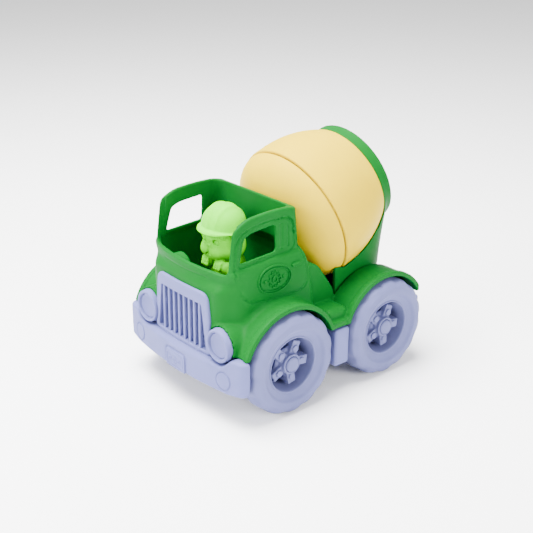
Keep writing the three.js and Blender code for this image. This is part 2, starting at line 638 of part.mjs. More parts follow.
function drumStand() {
  const { bottomZ, midZ, wall } = STAND;
  const { start, end, frontRadius, rearRadius, boreRadius } = COLLAR;
  const outer = hull([...standRing(bottomZ, 0), ...standRing(midZ, 0),
    ...axisCircle(start, frontRadius), ...axisCircle(end, rearRadius)]);
  const inner = hull([...standRing(bottomZ - 6, wall), ...standRing(midZ, wall),
    ...axisCircle(start - 3, frontRadius - wall), ...axisCircle(end + 4, boreRadius)]);
  const openFront = prismX(outline([
    [0, 50], [STAND.frontY, 50], [STAND.frontY, 84], [45, 101], [66, 121], [47, 185], [0, 185],
  ]), -60, 60);
  const faceFront = box([-STAND.halfWidth + wall, 10, 50], [STAND.halfWidth - wall, STAND.frontY + 4, 140]);
  const past = prismX(outline([[72, 137], [50, 196], [110, 210], [130, 150]]), -60, 60);
  const ears = standEars().intersect(outer);
  const skin = without(outer, inner, openFront, faceFront, past);
  const notches = mirrorPair.map(([, side]) => box(
    [side * HINGE.lugX - 3, HINGE.y - 8, 50], [side * HINGE.lugX + 3, HINGE.y + 14, HINGE.z + 7]));
  const pinBore = cylinderX(HINGE.pinRadius + 0.06, -HINGE.pinHalf - GAP, HINGE.pinHalf + GAP, HINGE.y, HINGE.z, 32);
  const whole = joined(without(joined(skin, ears), ...notches, drumEnvelope(0.8)), collar());
  return part('drum_stand', whole.subtract(pinBore), 'green');
}

/** Ears inside the stand's back wall that hold the hinge pin. */
function standEars() {
  const { y, z, earRadius, earX } = HINGE;
  const shape = outline([
    [y - earRadius, z - earRadius + 1], [y + 12, z - earRadius + 1], [y + 12, z + earRadius + 6],
    [y - earRadius, z + earRadius],
  ], 2.5);
  const ears = mirrorPair.map(([, side]) => prismX(
    shape, side * earX - HINGE_EAR_WIDTH / 2, side * earX + HINGE_EAR_WIDTH / 2));
  return joined(...ears);
}

function hingePin() {
  const { pinRadius, pinHalf, y, z } = HINGE;
  return part('tip_hinge_pin', cylinderX(pinRadius, -pinHalf, pinHalf, y, z), 'green');
}

function hingeLug(label, side) {
  const { y, z, lugRadius, lugX, pinRadius } = HINGE;
  const foot = SUNKEN_DECK.topZ + GAP;
  const shape = new THREE.Shape();
  shape.moveTo(y - lugRadius - 2, foot);
  shape.lineTo(y + lugRadius, foot);
  shape.lineTo(y + lugRadius, z);
  shape.absarc(y, z, lugRadius, 0, Math.PI, false);
  shape.closePath();
  const bore = cylinderX(pinRadius + AXLE.clearance, -30, 30, y, z, 32);
  return part(`hinge_lug_${label}`, prismX(shape, side * lugX - 2, side * lugX + 2).subtract(bore), 'green');
}

// ---------------------------------------------------------------- builder figure
function driverFigure() {
  const { y, footZ, headZ, headRadius } = DRIVER;
  const torso = ellipsoid([13.5, 11.5, 24], [0, y + 1, 88]);
  const body = torso.intersect(box([-30, y - 30, footZ], [30, y + 30, 140]));
  const plinth = solid(new THREE.CylinderGeometry(11, 12, 12, 24).rotateX(Math.PI / 2).translate(0, y, footZ + 6));
  const head = ellipsoid([headRadius, headRadius - 1, headRadius], [0, y, headZ - 4]);
  const muzzle = ellipsoid([7.5, 7, 6], [0, y - 12, headZ - 10]);
  const paws = mirrorPair.map(([, side]) => ellipsoid([6, 6, 5.5], [side * 7.5, y - 11, 96]));
  const arms = mirrorPair.map(([, side]) => ellipsoid([5.5, 9, 8], [side * 12, y - 4, 95]));
  const ears = mirrorPair.map(([, side]) => ellipsoid([3.6, 5.5, 9], [side * 14, y + 2, 112]));
  return part('driver_figure', joined(body, plinth, head, muzzle, ...paws, ...arms, ...ears, helmet()), 'lime');
}

function helmet() {
  const { radius, y, brimZ, height, brimReach } = HELMET;
  const dome = ellipsoid([radius, radius, height], [0, y, brimZ], 16);
  const upper = dome.intersect(box([-30, y - 30, brimZ - 1], [30, y + 30, 160]));
  const brim = new THREE.CylinderGeometry(radius + 1.2, radius + 1.6, 2.4, 20).rotateX(Math.PI / 2);
  return joined(upper, solid(brim.scale(1, 1.08, 1).translate(0, y - brimReach / 2, brimZ - 0.6)));
}

// ---------------------------------------------------------------- assembly
const mixer = new THREE.Group();
mixer.add(chassisFrame(), frontBumper(), numberPlate(), grille(), bodyShell(), seatBlock(), dashHump());
for (const [label, side] of mirrorPair) {
  mixer.add(fogLamp(label, side), headlamp(label, side), doorBadge(label, side));
  mixer.add(doorHandle(label, side), hingeLug(label, side));
}
mixer.add(axleSet('front', WHEEL.frontY), axleSet('rear', WHEEL.rearY));
mixer.add(drumStand(), hingePin(), drumFrontShell(), drumRearShell(), drumMouth(), driverFigure());

export default mixer;
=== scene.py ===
"""Toy cement mixer truck with a tipping, spinning drum and a builder at the wheel.

Every moulding is built from signed distances in millimetres and meshed, or turned
from a profile with Geometry Nodes, then set in metres in the frame of the CAD model.
"""
import json
import logging
import math
from dataclasses import dataclass, field, replace
from enum import Enum
from typing import Callable, Iterable, Sequence

import bpy
import numpy as np
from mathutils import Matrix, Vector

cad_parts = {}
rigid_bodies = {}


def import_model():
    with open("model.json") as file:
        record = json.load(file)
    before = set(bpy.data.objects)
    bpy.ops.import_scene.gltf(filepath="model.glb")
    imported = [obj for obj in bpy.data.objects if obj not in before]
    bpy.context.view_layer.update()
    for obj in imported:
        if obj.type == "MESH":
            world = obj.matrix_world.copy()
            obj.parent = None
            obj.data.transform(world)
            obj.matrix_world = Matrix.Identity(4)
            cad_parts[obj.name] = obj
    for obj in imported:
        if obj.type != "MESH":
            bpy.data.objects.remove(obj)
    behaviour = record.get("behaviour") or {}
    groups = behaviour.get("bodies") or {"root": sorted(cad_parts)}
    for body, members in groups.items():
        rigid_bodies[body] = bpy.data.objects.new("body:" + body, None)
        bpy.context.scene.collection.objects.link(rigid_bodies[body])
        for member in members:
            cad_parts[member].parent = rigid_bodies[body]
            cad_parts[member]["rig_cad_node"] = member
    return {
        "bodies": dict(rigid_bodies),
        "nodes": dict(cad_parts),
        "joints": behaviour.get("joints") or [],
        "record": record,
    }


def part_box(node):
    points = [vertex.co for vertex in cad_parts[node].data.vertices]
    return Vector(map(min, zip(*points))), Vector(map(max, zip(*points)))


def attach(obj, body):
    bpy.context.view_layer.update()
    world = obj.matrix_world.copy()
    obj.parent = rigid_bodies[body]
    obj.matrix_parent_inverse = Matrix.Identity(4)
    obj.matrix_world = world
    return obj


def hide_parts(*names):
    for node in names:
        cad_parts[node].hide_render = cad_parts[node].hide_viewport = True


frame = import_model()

import openvdb
from mathutils import Matrix, Vector

MM = 0.001
PLACES = 3  # decimals kept when the frame is read in millimetres
Array = np.ndarray
Pair = tuple[float, float]
Point = tuple[float, float, float]
Outline = Sequence[Pair]
Measure = Callable[[Array, Array, Array], Array]
log = logging.getLogger("mixer")


# ------------------------------------------------------------------ frame
def joint_spot(name: str) -> Pair:
    """Where a joint's axis crosses the middle plane.

    Args:
        name: The joint's name.

    Returns:
        Its y and z, in millimetres.
    """
    joint = next(each for each in frame["joints"] if each["name"] == name)
    _, y, z = (round(value / MM, PLACES) for value in joint["pos_m"])
    return y, z


def joint_tilt(name: str) -> float:
    """How far a joint's axis rises towards the back, in degrees."""
    _, ahead, up = next(each for each in frame["joints"] if each["name"] == name)["axis"]
    return round(math.degrees(math.atan2(up, ahead)), PLACES)


def radius_of(node: str) -> float:
    """Half a CAD node's height, in millimetres."""
    low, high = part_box(node)
    return round((high.z - low.z) / 2 / MM, PLACES)


AXLES = (joint_spot("front_axle_spin"), joint_spot("rear_axle_spin"))


class Side(Enum):
    """The truck's two sides, by the sign of X."""

    LEFT = 1
    RIGHT = -1

    @property
    def label(self) -> str:
        """The side's name, as the node names end."""
        return self.name.lower()


class Body(Enum):
    """The moving bodies that pieces ride on."""

    CHASSIS = "chassis"
    FRONT_WHEELS = "front_wheels"
    REAR_WHEELS = "rear_wheels"
    STAND = "stand"
    DRUM = "drum"
    DRIVER = "driver"


# ------------------------------------------------------------------ signed distances
def smooth_step(value: Array, start: float, end: float) -> Array:
    """Rises smoothly from 0 at start to 1 at end (start may be the larger)."""
    t = np.clip((value - start) / (end - start), 0.0, 1.0)
    return t * t * (3.0 - 2.0 * t)


def round_max(a: Array, b: Array, radius: float | Array) -> Array:
    """Intersects two distances, with a rounded edge.

    Args:
        a: One distance.
        b: The other distance.
        radius: The edge's radius.

    Returns:
        The distance to both at once.
    """
    a, b = a + radius, b + radius
    outside = np.sqrt(np.maximum(a, 0.0) ** 2 + np.maximum(b, 0.0) ** 2)
    return np.minimum(np.maximum(a, b), 0.0) + outside - radius


def soft_min(a: Array, b: Array, fillet: float) -> Array:
    """Joins two distances, with a fillet where they meet."""
    if fillet <= 0:
        return np.minimum(a, b)
    h = np.maximum(fillet - np.abs(a - b), 0.0) / fillet
    return np.minimum(a, b) - h * h * fillet * 0.25


class Solid:
    """A shape given by its signed distance: negative inside, in millimetres."""

    def __init__(self, measure: Measure) -> None:
        """Keeps the measure of x, y and z."""
        self.measure = measure

    def __call__(self, x: Array, y: Array, z: Array) -> Array:
        """Distance at the given coordinates."""
        return self.measure(x, y, z)

    def join(self, other: "Solid", fillet: float = 0.0) -> "Solid":
        """This shape and another as one, with a fillet between them."""
        return Solid(lambda x, y, z: soft_min(self(x, y, z), other(x, y, z), fillet))

    def cut(self, other: "Solid", edge: float = 0.0) -> "Solid":
        """This shape less another, with an eased edge."""
        return Solid(lambda x, y, z: -soft_min(-self(x, y, z), other(x, y, z), edge))

    def meet(self, other: "Solid", edge: float = 0.0) -> "Solid":
        """What this shape and another share, with an eased edge."""
        return Solid(lambda x, y, z: -soft_min(-self(x, y, z), -other(x, y, z), edge))

    def mirrored(self) -> "Solid":
        """The +X half of this shape on both sides."""
        return Solid(lambda x, y, z: self(np.abs(x), y, z))


def joined(solids: Iterable[Solid], fillet: float = 0.0) -> Solid:
    """Several shapes as one.

    Args:
        solids: The shapes, in order.
        fillet: The fillet where each meets what came before.

    Returns:
        The joined shape.
    """
    total, *rest = list(solids)
    for solid in rest:
        total = total.join(solid, fillet)
    return total


def block(low: Point, high: Point, edge: float = 0.0) -> Solid:
    """A box between two corners, with rounded edges."""
    centre = [(a + b) / 2 for a, b in zip(low, high)]
    half = [(b - a) / 2 - edge for a, b in zip(low, high)]

    def measure(x: Array, y: Array, z: Array) -> Array:
        """Distance to the rounded box."""
        gaps = [np.abs(v - c) - h for v, c, h in zip((x, y, z), centre, half)]
        outside = np.sqrt(sum(np.maximum(gap, 0.0) ** 2 for gap in gaps))
        inside = np.minimum(np.maximum(np.maximum(gaps[0], gaps[1]), gaps[2]), 0.0)
        return outside + inside - edge

    return Solid(measure)


def ellipsoid(centre: Point, radii: Point) -> Solid:
    """An ellipsoid, exact near its surface."""

    def measure(x: Array, y: Array, z: Array) -> Array:
        """First-order distance to the ellipsoid."""
        u, v, w = (x - centre[0]), (y - centre[1]), (z - centre[2])
        a, b, c = radii
        k0 = np.sqrt((u / a) ** 2 + (v / b) ** 2 + (w / c) ** 2)
        k1 = np.sqrt((u / a**2) ** 2 + (v / b**2) ** 2 + (w / c**2) ** 2)
        return k0 * (k0 - 1.0) / np.maximum(k1, 1e-6)

    return Solid(measure)


def capsule(start: Point, end: Point, radius: float, end_radius: float | None = None) -> Solid:
    """A round bar between two points, which may taper."""
    a, b = np.array(start, float), np.array(end, float)
    along = b - a
    length2 = float(along @ along)
    far = radius if end_radius is None else end_radius

    def measure(x: Array, y: Array, z: Array) -> Array:
        """Distance to the bar."""
        u, v, w = x - a[0], y - a[1], z - a[2]
        t = np.clip((u * along[0] + v * along[1] + w * along[2]) / length2, 0.0, 1.0)
        gap = np.sqrt((u - along[0] * t) ** 2 + (v - along[1] * t) ** 2 + (w - along[2] * t) ** 2)
        return gap - (radius + (far - radius) * t)

    return Solid(measure)


def rod_x(radius: float, x0: float, x1: float, y: float, z: float, edge: float = 0.0) -> Solid:
    """A cylinder along X with rounded rims."""

    def measure(px: Array, py: Array, pz: Array) -> Array:
        """Distance to the cylinder."""
        wall = np.sqrt((py - y) ** 2 + (pz - z) ** 2) - radius
        return round_max(wall, np.abs(px - (x0 + x1) / 2) - (x1 - x0) / 2, edge)

    return Solid(measure)


def rod_y(radius: float, y0: float, y1: float, x: float, z: float, edge: float = 0.0) -> Solid:
    """A cylinder along Y with rounded rims."""
    turned = rod_x(radius, y0, y1, x, z, edge)
    return Solid(lambda px, py, pz: turned(py, px, pz))


def outline_gap(u: Array, v: Array, corners: Outline) -> Array:
    """Signed distance in a plane to an outline.

    Args:
        u: First coordinates.
        v: Second coordinates.
        corners: The outline's corners, in order.

    Returns:
        The distance, negative inside.
    """
    near, sign = np.inf, 1.0
    for (ax, ay), (bx, by) in zip(corners, [*corners[1:], corners[0]]):
        ex, ey = bx - ax, by - ay
        wx, wy = u - ax, v - ay
        t = np.clip((wx * ex + wy * ey) / (ex * ex + ey * ey), 0.0, 1.0)
        near = np.minimum(near, (wx - ex * t) ** 2 + (wy - ey * t) ** 2)
        above, below = v >= ay, v < by
        left = ex * wy > ey * wx
        flip = (above & below & left) | (~above & ~below & ~left)
        sign = sign * np.where(flip, -1.0, 1.0)
    return np.sqrt(near) * sign


def prism_x(corners: Outline, x0: float, x1: float, edge: float = 0.0) -> Solid:
    """A prism along X from a (y, z) outline whose corners and ends are rounded."""
    middle, half = (x0 + x1) / 2, (x1 - x0) / 2
    return Solid(lambda x, y, z: round_max(outline_gap(y, z, corners), np.abs(x - middle) - half, edge))


def prism_y(corners: Outline, y0: float, y1: float, edge: float = 0.0) -> Solid:
    """A prism along Y from an (x, z) outline with rounded ends."""
    middle, half = (y0 + y1) / 2, (y1 - y0) / 2
    return Solid(lambda x, y, z: round_max(outline_gap(x, z, corners), np.abs(y - middle) - half, edge))


def rounded(corners: Outline, radius: float, steps: int = 4) -> list[Pair]:
    """An outline with its corners rounded.

    Args:
        corners: The sharp outline.
        radius: How far from each corner the round starts.
        steps: How many chords make each round.

    Returns:
        The corners of the rounded outline.
    """
    made = []
    for i, corner in enumerate(corners):
        here = np.array(corner, float)
        arms = []
        for other in (corners[i - 1], corners[(i + 1) % len(corners)]):
            arm = np.array(other, float) - here
            size = float(np.linalg.norm(arm))
            arms.append(here + arm / size * min(radius, size * 0.48))
        for k in range(steps + 1):
            t = k / steps
            spot = (1 - t) ** 2 * arms[0] + 2 * t * (1 - t) * here + t * t * arms[1]
            made.append((float(spot[0]), float(spot[1])))
    return made


# ------------------------------------------------------------------ meshing
def gradient(solid: Solid, points: Array, step: float = 0.04) -> Array:
    """Slope of a shape's distance at points."""
    slopes = []
    for axis in range(3):
        ahead, behind = points.copy(), points.copy()
        ahead[:, axis] += step
        behind[:, axis] -= step
        slopes.append((solid(*ahead.T) - solid(*behind.T)) / (2 * step))
    return np.stack(slopes, 1)


def settle(solid: Solid, points: Array, rounds: int, reach: float) -> Array:
    """Moves points onto a shape's surface.

    Args:
        solid: The shape.
        points: Points near its surface.
        rounds: How many corrections to make.
        reach: The furthest that one correction may move a point.

    Returns:
        The points, moved.
    """
    for _ in range(rounds):
        slope = gradient(solid, points)
        size2 = np.maximum((slope**2).sum(1), 0.2)
        move = -(solid(*points.T) / size2)[:, None] * slope
        length = np.sqrt((move**2).sum(1))[:, None]
        points = points + move * np.minimum(1.0, reach / np.maximum(length, 1e-9))
    return points


def split_edges(points: Array, faces: Array, wanted: Callable[[Array, Array], Array]) -> tuple[Array, Array]:
    """Splits the chosen edges of a triangle mesh, keeping it closed.

    Args:
        points: The vertices.
        faces: The triangles.
        wanted: Takes the two ends' indices of every edge and says which edges to split.

    Returns:
        The new vertices and triangles.
    """
    pairs = np.stack([faces, np.roll(faces, -1, 1)], 2).reshape(-1, 2)
    pairs.sort(1)
    edges, of_corner = np.unique(pairs, axis=0, return_inverse=True)
    chosen = wanted(edges[:, 0], edges[:, 1])
    middle = np.full(len(edges), -1)
    middle[chosen] = len(points) + np.arange(chosen.sum())
    points = np.concatenate([points, (points[edges[chosen, 0]] + points[edges[chosen, 1]]) / 2])
    mids = middle[of_corner.reshape(-1, 3)]
    made = []
    count = (mids >= 0).sum(1)
    made.append(faces[count == 0])
    for marks in (1, 2):
        for turn in range(3):
            f, m = np.roll(faces, -turn, 1), np.roll(mids, -turn, 1)
            pick = (count == marks) & (m[:, 0] >= 0) & ((m[:, 1] >= 0) if marks == 2 else (m[:, 2] < 0))
            a, b, c, ab, bc = f[pick, 0], f[pick, 1], f[pick, 2], m[pick, 0], m[pick, 1]
            if marks == 1:
                made += [np.stack([a, ab, c], 1), np.stack([ab, b, c], 1)]
            else:
                made += [np.stack([ab, b, bc], 1), np.stack([a, ab, bc], 1), np.stack([a, bc, c], 1)]
    (a, b, c), (ab, bc, ca) = faces[count == 3].T, mids[count == 3].T
    made += [np.stack(t, 1) for t in ((a, ab, ca), (ab, b, bc), (ca, bc, c), (ab, bc, ca))]
    return points, np.concatenate(made)


@dataclass
class Sculpt:
    """How finely a shape is meshed, in millimetres."""

    voxel: float
    bend: float = 14.0
    finest: float = 0.45
    rounds: int = 2
    step: float = 0.06

    def sample(self, solid: Solid, low: Point, high: Point) -> tuple[Array, Array]:
        """Meshes a shape on an even grid.

        Args:
            solid: The shape.
            low: Lowest corner of the space to look in.
            high: Highest corner of that space.

        Returns:
            The vertices and the triangles.
        """
        axes = [np.arange(a, b + self.voxel, self.voxel, dtype=np.float32) for a, b in zip(low, high)]
        x, y, z = axes[0][:, None, None], axes[1][None, :, None], axes[2][None, None, :]
        shape = tuple(len(axis) for axis in axes)
        values = np.ascontiguousarray(np.broadcast_to(solid(x, y, z), shape), np.float32)
        band = 3.0 * self.voxel
        grid = openvdb.FloatGrid(band)
        grid.copyFromArray(np.clip(values, -band, band), tolerance=0.0)
        points, triangles, quads = grid.convertToPolygons(isovalue=0.0, adaptivity=0.0)
        points = np.array([axis[0] for axis in axes], np.float64) + points.astype(np.float64) * self.voxel
        short = ((points[quads[:, 0]] - points[quads[:, 2]]) ** 2).sum(1) \
            <= ((points[quads[:, 1]] - points[quads[:, 3]]) ** 2).sum(1)
        q, r = quads[short], quads[~short]
        halves = (q[:, [0, 1, 2]], q[:, [0, 2, 3]], r[:, [0, 1, 3]], r[:, [1, 2, 3]])
        faces = np.concatenate([triangles, *halves])
        return points, faces.astype(np.int64)

    def mesh(self, solid: Solid, low: Point, high: Point,
             relief: Measure | None = None) -> tuple[Array, Array]:
        """Meshes a shape, finely where it bends or where its relief changes.

        Args:
            solid: The shape.
            low: Lowest corner of the space to look in.
            high: Highest corner of that space.
            relief: How deep the surface is engraved at a place, if it is.

        Returns:
            The vertices, in millimetres, and the outward triangles.
        """
        points, faces = self.sample(solid, low, high)
        points = settle(solid, points, 3, self.voxel * 0.5)
        final = solid if relief is None else Solid(lambda x, y, z: solid(x, y, z) + relief(x, y, z))
        for _ in range(self.rounds):
            normals = gradient(solid, points)
            normals /= np.maximum(np.linalg.norm(normals, axis=1), 1e-6)[:, None]

            def wanted(a: Array, b: Array) -> Array:
                """Edges that bend sharply or cross a groove."""
                long = np.linalg.norm(points[a] - points[b], axis=1) > self.finest
                marked = (normals[a] * normals[b]).sum(1) < math.cos(math.radians(self.bend))
                if relief is not None:
                    ends, middle = relief(*points.T), relief(*((points[a] + points[b]) / 2).T)
                    marked |= np.maximum(np.abs(ends[a] - middle), np.abs(ends[b] - middle)) > self.step
                return long & marked

            points, faces = split_edges(points, faces, wanted)
            points = settle(solid, points, 2, self.finest)
        points = settle(final, points, 2, self.finest)
        a, b, c = (points[faces[:, k]] for k in range(3))
        if np.einsum("ij,ij->i", a, np.cross(b, c)).sum() < 0:
            faces = faces[:, ::-1]
        return points, np.ascontiguousarray(faces)


def new_object(name: str, points: Array, faces: Array | Sequence[Sequence[int]]) -> bpy.types.Object:
    """Makes a smooth-shaded object from vertices in millimetres.

    Args:
        name: The piece's name.
        points: The vertices.
        faces: The faces, as vertex indices.

    Returns:
        The object, linked to the scene.
    """
    mesh = bpy.data.meshes.new(name)
    if isinstance(faces, np.ndarray):
        mesh.vertices.add(len(points))
        mesh.vertices.foreach_set("co", (points * MM).astype(np.float32).ravel())
        mesh.loops.add(faces.size)
        mesh.loops.foreach_set("vertex_index", faces.astype(np.int32).ravel())
        mesh.polygons.add(len(faces))
        mesh.polygons.foreach_set("loop_start", np.arange(0, faces.size, 3, dtype=np.int32))
        mesh.update(calc_edges=True)
    else:
        mesh.from_pydata([tuple(p * MM) for p in np.asarray(points, float)], [], faces)
    mesh.validate()
    mesh.shade_smooth()
    made = bpy.data.objects.new(name, mesh)
    bpy.context.scene.collection.objects.link(made)
    return made


def placed(name: str, source: bpy.types.Object, place: Matrix) -> bpy.types.Object:
    """A copy of a piece with its place put into its mesh.

    Args:
        name: The copy's name.
        source: The piece to copy.
        place: Where the copy goes, in metres.

    Returns:
        The copy, with its faces pointing out.
    """
    mesh = source.data.copy()
    mesh.name = name
    mesh.transform(place)
    if place.determinant() < 0:
        mesh.flip_normals()
    made = bpy.data.objects.new(name, mesh)
    bpy.context.scene.collection.objects.link(made)
    return made


# ------------------------------------------------------------------ geometry nodes
class NodeTree:
    """A Geometry Nodes tree with named inputs."""

    def __init__(self, name: str, inputs: dict[str, tuple[str, float | int | None]]) -> None:
        """Makes a tree whose group has a geometry input and the given ones."""
        self.tree = bpy.data.node_groups.new(name, "GeometryNodeTree")
        face = self.tree.interface
        face.new_socket("Geometry", in_out="INPUT", socket_type="NodeSocketGeometry")
        self.names: dict[str, str] = {}
        for label, (kind, default) in inputs.items():
            socket = face.new_socket(label, in_out="INPUT", socket_type=kind)
            if default is not None:
                socket.default_value = default
            self.names[label] = socket.identifier
        face.new_socket("Geometry", in_out="OUTPUT", socket_type="NodeSocketGeometry")
        self.start = self.tree.nodes.new("NodeGroupInput")
        self.end = self.tree.nodes.new("NodeGroupOutput")

    def node(self, kind: str, settings: dict | None = None, inputs: dict | None = None) -> bpy.types.Node:
        """Adds a node.

        Args:
            kind: The node's type.
            settings: Properties to set first.
            inputs: Values or sockets for its inputs, by name or number.

        Returns:
            The node.
        """
        made = self.tree.nodes.new(kind)
        for key, value in (settings or {}).items():
            setattr(made, key, value)
        for key, value in (inputs or {}).items():
            if isinstance(value, bpy.types.NodeSocket):
                self.tree.links.new(value, made.inputs[key])
            else:
                made.inputs[key].default_value = value
        return made

    def finish(self, geometry: bpy.types.NodeSocket) -> None:
        """Ends the tree in Realize Instances and Set Material."""
        real = self.node("GeometryNodeRealizeInstances", inputs={0: geometry})
        dressed = self.node("GeometryNodeSetMaterial", inputs={
            0: real.outputs[0], "Material": self.start.outputs["Material"]})
        self.tree.links.new(dressed.outputs[0], self.end.inputs[0])

    def apply(self, base: bpy.types.Object, name: str, values: dict) -> bpy.types.Object:
        """Runs the tree on a base object and keeps the result as a plain mesh.

        Args:
            base: The object that the tree starts from; it is removed.
            name: The finished piece's name.
            values: The named inputs' values.

        Returns:
            The finished piece.
        """
        modifier = base.modifiers.new("made", "NODES")
        modifier.node_group = self.tree
        for label, value in values.items():
            modifier[self.names[label]] = value
        evaluated = base.evaluated_get(bpy.context.evaluated_depsgraph_get())
        mesh = bpy.data.meshes.new_from_object(evaluated)
        mesh.name = name
        bpy.data.objects.remove(base)
        made = bpy.data.objects.new(name, mesh)
        bpy.context.scene.collection.objects.link(made)
        return made


def turning_tree() -> NodeTree:
    """A lathe: turns a profile, drawn as a closed line in XZ, about the Z axis."""
    lathe = NodeTree("turning", {"Segments": ("NodeSocketInt", 96), "Material": ("NodeSocketMaterial", None)})
    profile = lathe.node("GeometryNodeMeshToCurve", inputs={0: lathe.start.outputs[0]})
    shift = lathe.node("ShaderNodeCombineXYZ", inputs={0: -1.0})
    inset = lathe.node("GeometryNodeSetPosition", inputs={0: profile.outputs[0], "Offset": shift.outputs[0]})
    upright = lathe.node("GeometryNodeTransform", inputs={
        0: inset.outputs[0], "Rotation": (math.pi / 2, 0.0, 0.0)})
    ring = lathe.node("GeometryNodeCurvePrimitiveCircle", {"mode": "RADIUS"},
                      {"Resolution": lathe.start.outputs["Segments"], "Radius": 1.0})
    swept = lathe.node("GeometryNodeCurveToMesh", inputs={0: ring.outputs[0], 1: upright.outputs[0]})
    merged = lathe.node("GeometryNodeMergeByDistance", inputs={0: swept.outputs[0], "Distance": 2e-6})
    smooth = lathe.node("GeometryNodeSetShadeSmooth", inputs={0: merged.outputs[0], "Shade Smooth": True})
    lathe.finish(smooth.outputs[0])
    return lathe


def array_tree() -> NodeTree:
    """A row: repeats the base along X, evenly and centred."""
    row = NodeTree("row", {
        "Count": ("NodeSocketInt", 8), "Pitch": ("NodeSocketFloat", 0.005),
        "Material": ("NodeSocketMaterial", None)})
    count, pitch = row.start.outputs["Count"], row.start.outputs["Pitch"]
    spans = row.node("ShaderNodeMath", {"operation": "SUBTRACT"}, {0: count, 1: 1.0})
    length = row.node("ShaderNodeMath", {"operation": "MULTIPLY"}, {0: spans.outputs[0], 1: pitch})
    left = row.node("ShaderNodeMath", {"operation": "MULTIPLY"}, {0: length.outputs[0], 1: -0.5})
    first = row.node("ShaderNodeCombineXYZ", inputs={0: left.outputs[0]})
    step = row.node("ShaderNodeCombineXYZ", inputs={0: pitch})
    line = row.node("GeometryNodeMeshLine", {"mode": "OFFSET"},
                    {"Count": count, "Start Location": first.outputs[0], "Offset": step.outputs[0]})
    copies = row.node("GeometryNodeInstanceOnPoints", inputs={
        0: line.outputs[0], "Instance": row.start.outputs[0]})
    row.finish(copies.outputs[0])
    return row


class Lathe:
    """Turns pieces from profiles of (radius, height) points in millimetres."""

    def __init__(self) -> None:
        """Builds the tree that every turned piece shares."""
        self.tree = turning_tree()

    def turn(self, name: str, profile: Outline, segments: int,
             material: bpy.types.Material) -> bpy.types.Object:
        """Turns one piece about Z.

        Args:
            name: The piece's name.
            profile: The section's points; it is closed unless both of its ends are on the axis.
            segments: How many steps make the full turn.
            material: The finish.

        Returns:
            The turned piece, standing on Z.
        """
        outline = [np.array([max(r, 0.0), 0.0, z]) for r, z in profile]
        mesh = bpy.data.meshes.new(name + "_profile")
        solid = profile[0][0] == 0 and profile[-1][0] == 0
        edges = [(i, (i + 1) % len(outline)) for i in range(len(outline) - solid)]
        mesh.from_pydata([tuple(p * MM) for p in outline], edges, [])
        base = bpy.data.objects.new(name + "_profile", mesh)
        bpy.context.scene.collection.objects.link(base)
        made = self.tree.apply(base, name, {"Segments": segments, "Material": material})
        outwards(made.data)
        return made


def outwards(mesh: bpy.types.Mesh) -> None:
    """Turns a closed mesh's faces to point out, by its signed volume."""
    mesh.calc_loop_triangles()
    points = np.zeros(len(mesh.vertices) * 3)
    mesh.vertices.foreach_get("co", points)
    corners = np.zeros(len(mesh.loop_triangles) * 3, int)
    mesh.loop_triangles.foreach_get("vertices", corners)
    a, b, c = points.reshape(-1, 3)[corners.reshape(-1, 3)].transpose(1, 0, 2)
    if np.einsum("ij,ij->i", a, np.cross(b, c)).sum() < 0:
        mesh.flip_normals()


def arc(centre: Pair, radius: float, start: float, end: float, steps: int = 6) -> list[Pair]:
    """Points of an arc from one angle to another, in degrees."""
    angles = np.radians(np.linspace(start, end, steps + 1))
    return [(centre[0] + radius * math.cos(a), centre[1] + radius * math.sin(a)) for a in angles]


# ------------------------------------------------------------------ finishes
class Slot(Enum):
    """The record's material slots."""

    SHELL = "shell_green"
    STAND = "stand_green"
    CHASSIS = "chassis_grey"
    WHEEL = "wheel_grey"
    DRUM = "drum_yellow"
    FIGURE = "figure_lime"


class Graph:
    """The nodes of one material."""

    def __init__(self, name: str) -> None:
        """Starts an empty material."""
        self.material = bpy.data.materials.new(name)
        self.material.use_nodes = True
        self.tree = self.material.node_tree
        self.tree.nodes.clear()

    def node(self, kind: str, settings: dict | None = None, inputs: dict | None = None) -> bpy.types.Node:
        """Adds a node.

        Args:
            kind: The node's type.
            settings: Properties to set first.
            inputs: Constants, sockets or values for its inputs, by name or number.

        Returns:
            The node.
        """
        made = self.tree.nodes.new(kind)
        for key, value in (settings or {}).items():
            setattr(made, key, value)
        for key, value in (inputs or {}).items():
            source = value.socket if isinstance(value, Value) else value
            if isinstance(source, bpy.types.NodeSocket):
                self.tree.links.new(source, made.inputs[key])
            else:
                made.inputs[key].default_value = source
        return made

    def noise(self, place: bpy.types.NodeSocket, scale: float, detail: float = 2.0) -> "Value":
        """Noise at a scale per metre, from 0 to 1."""
        return Value(self, self.node("ShaderNodeTexNoise", inputs={
            "Vector": place, "Scale": scale, "Detail": detail, "Roughness": 0.55}).outputs[0])


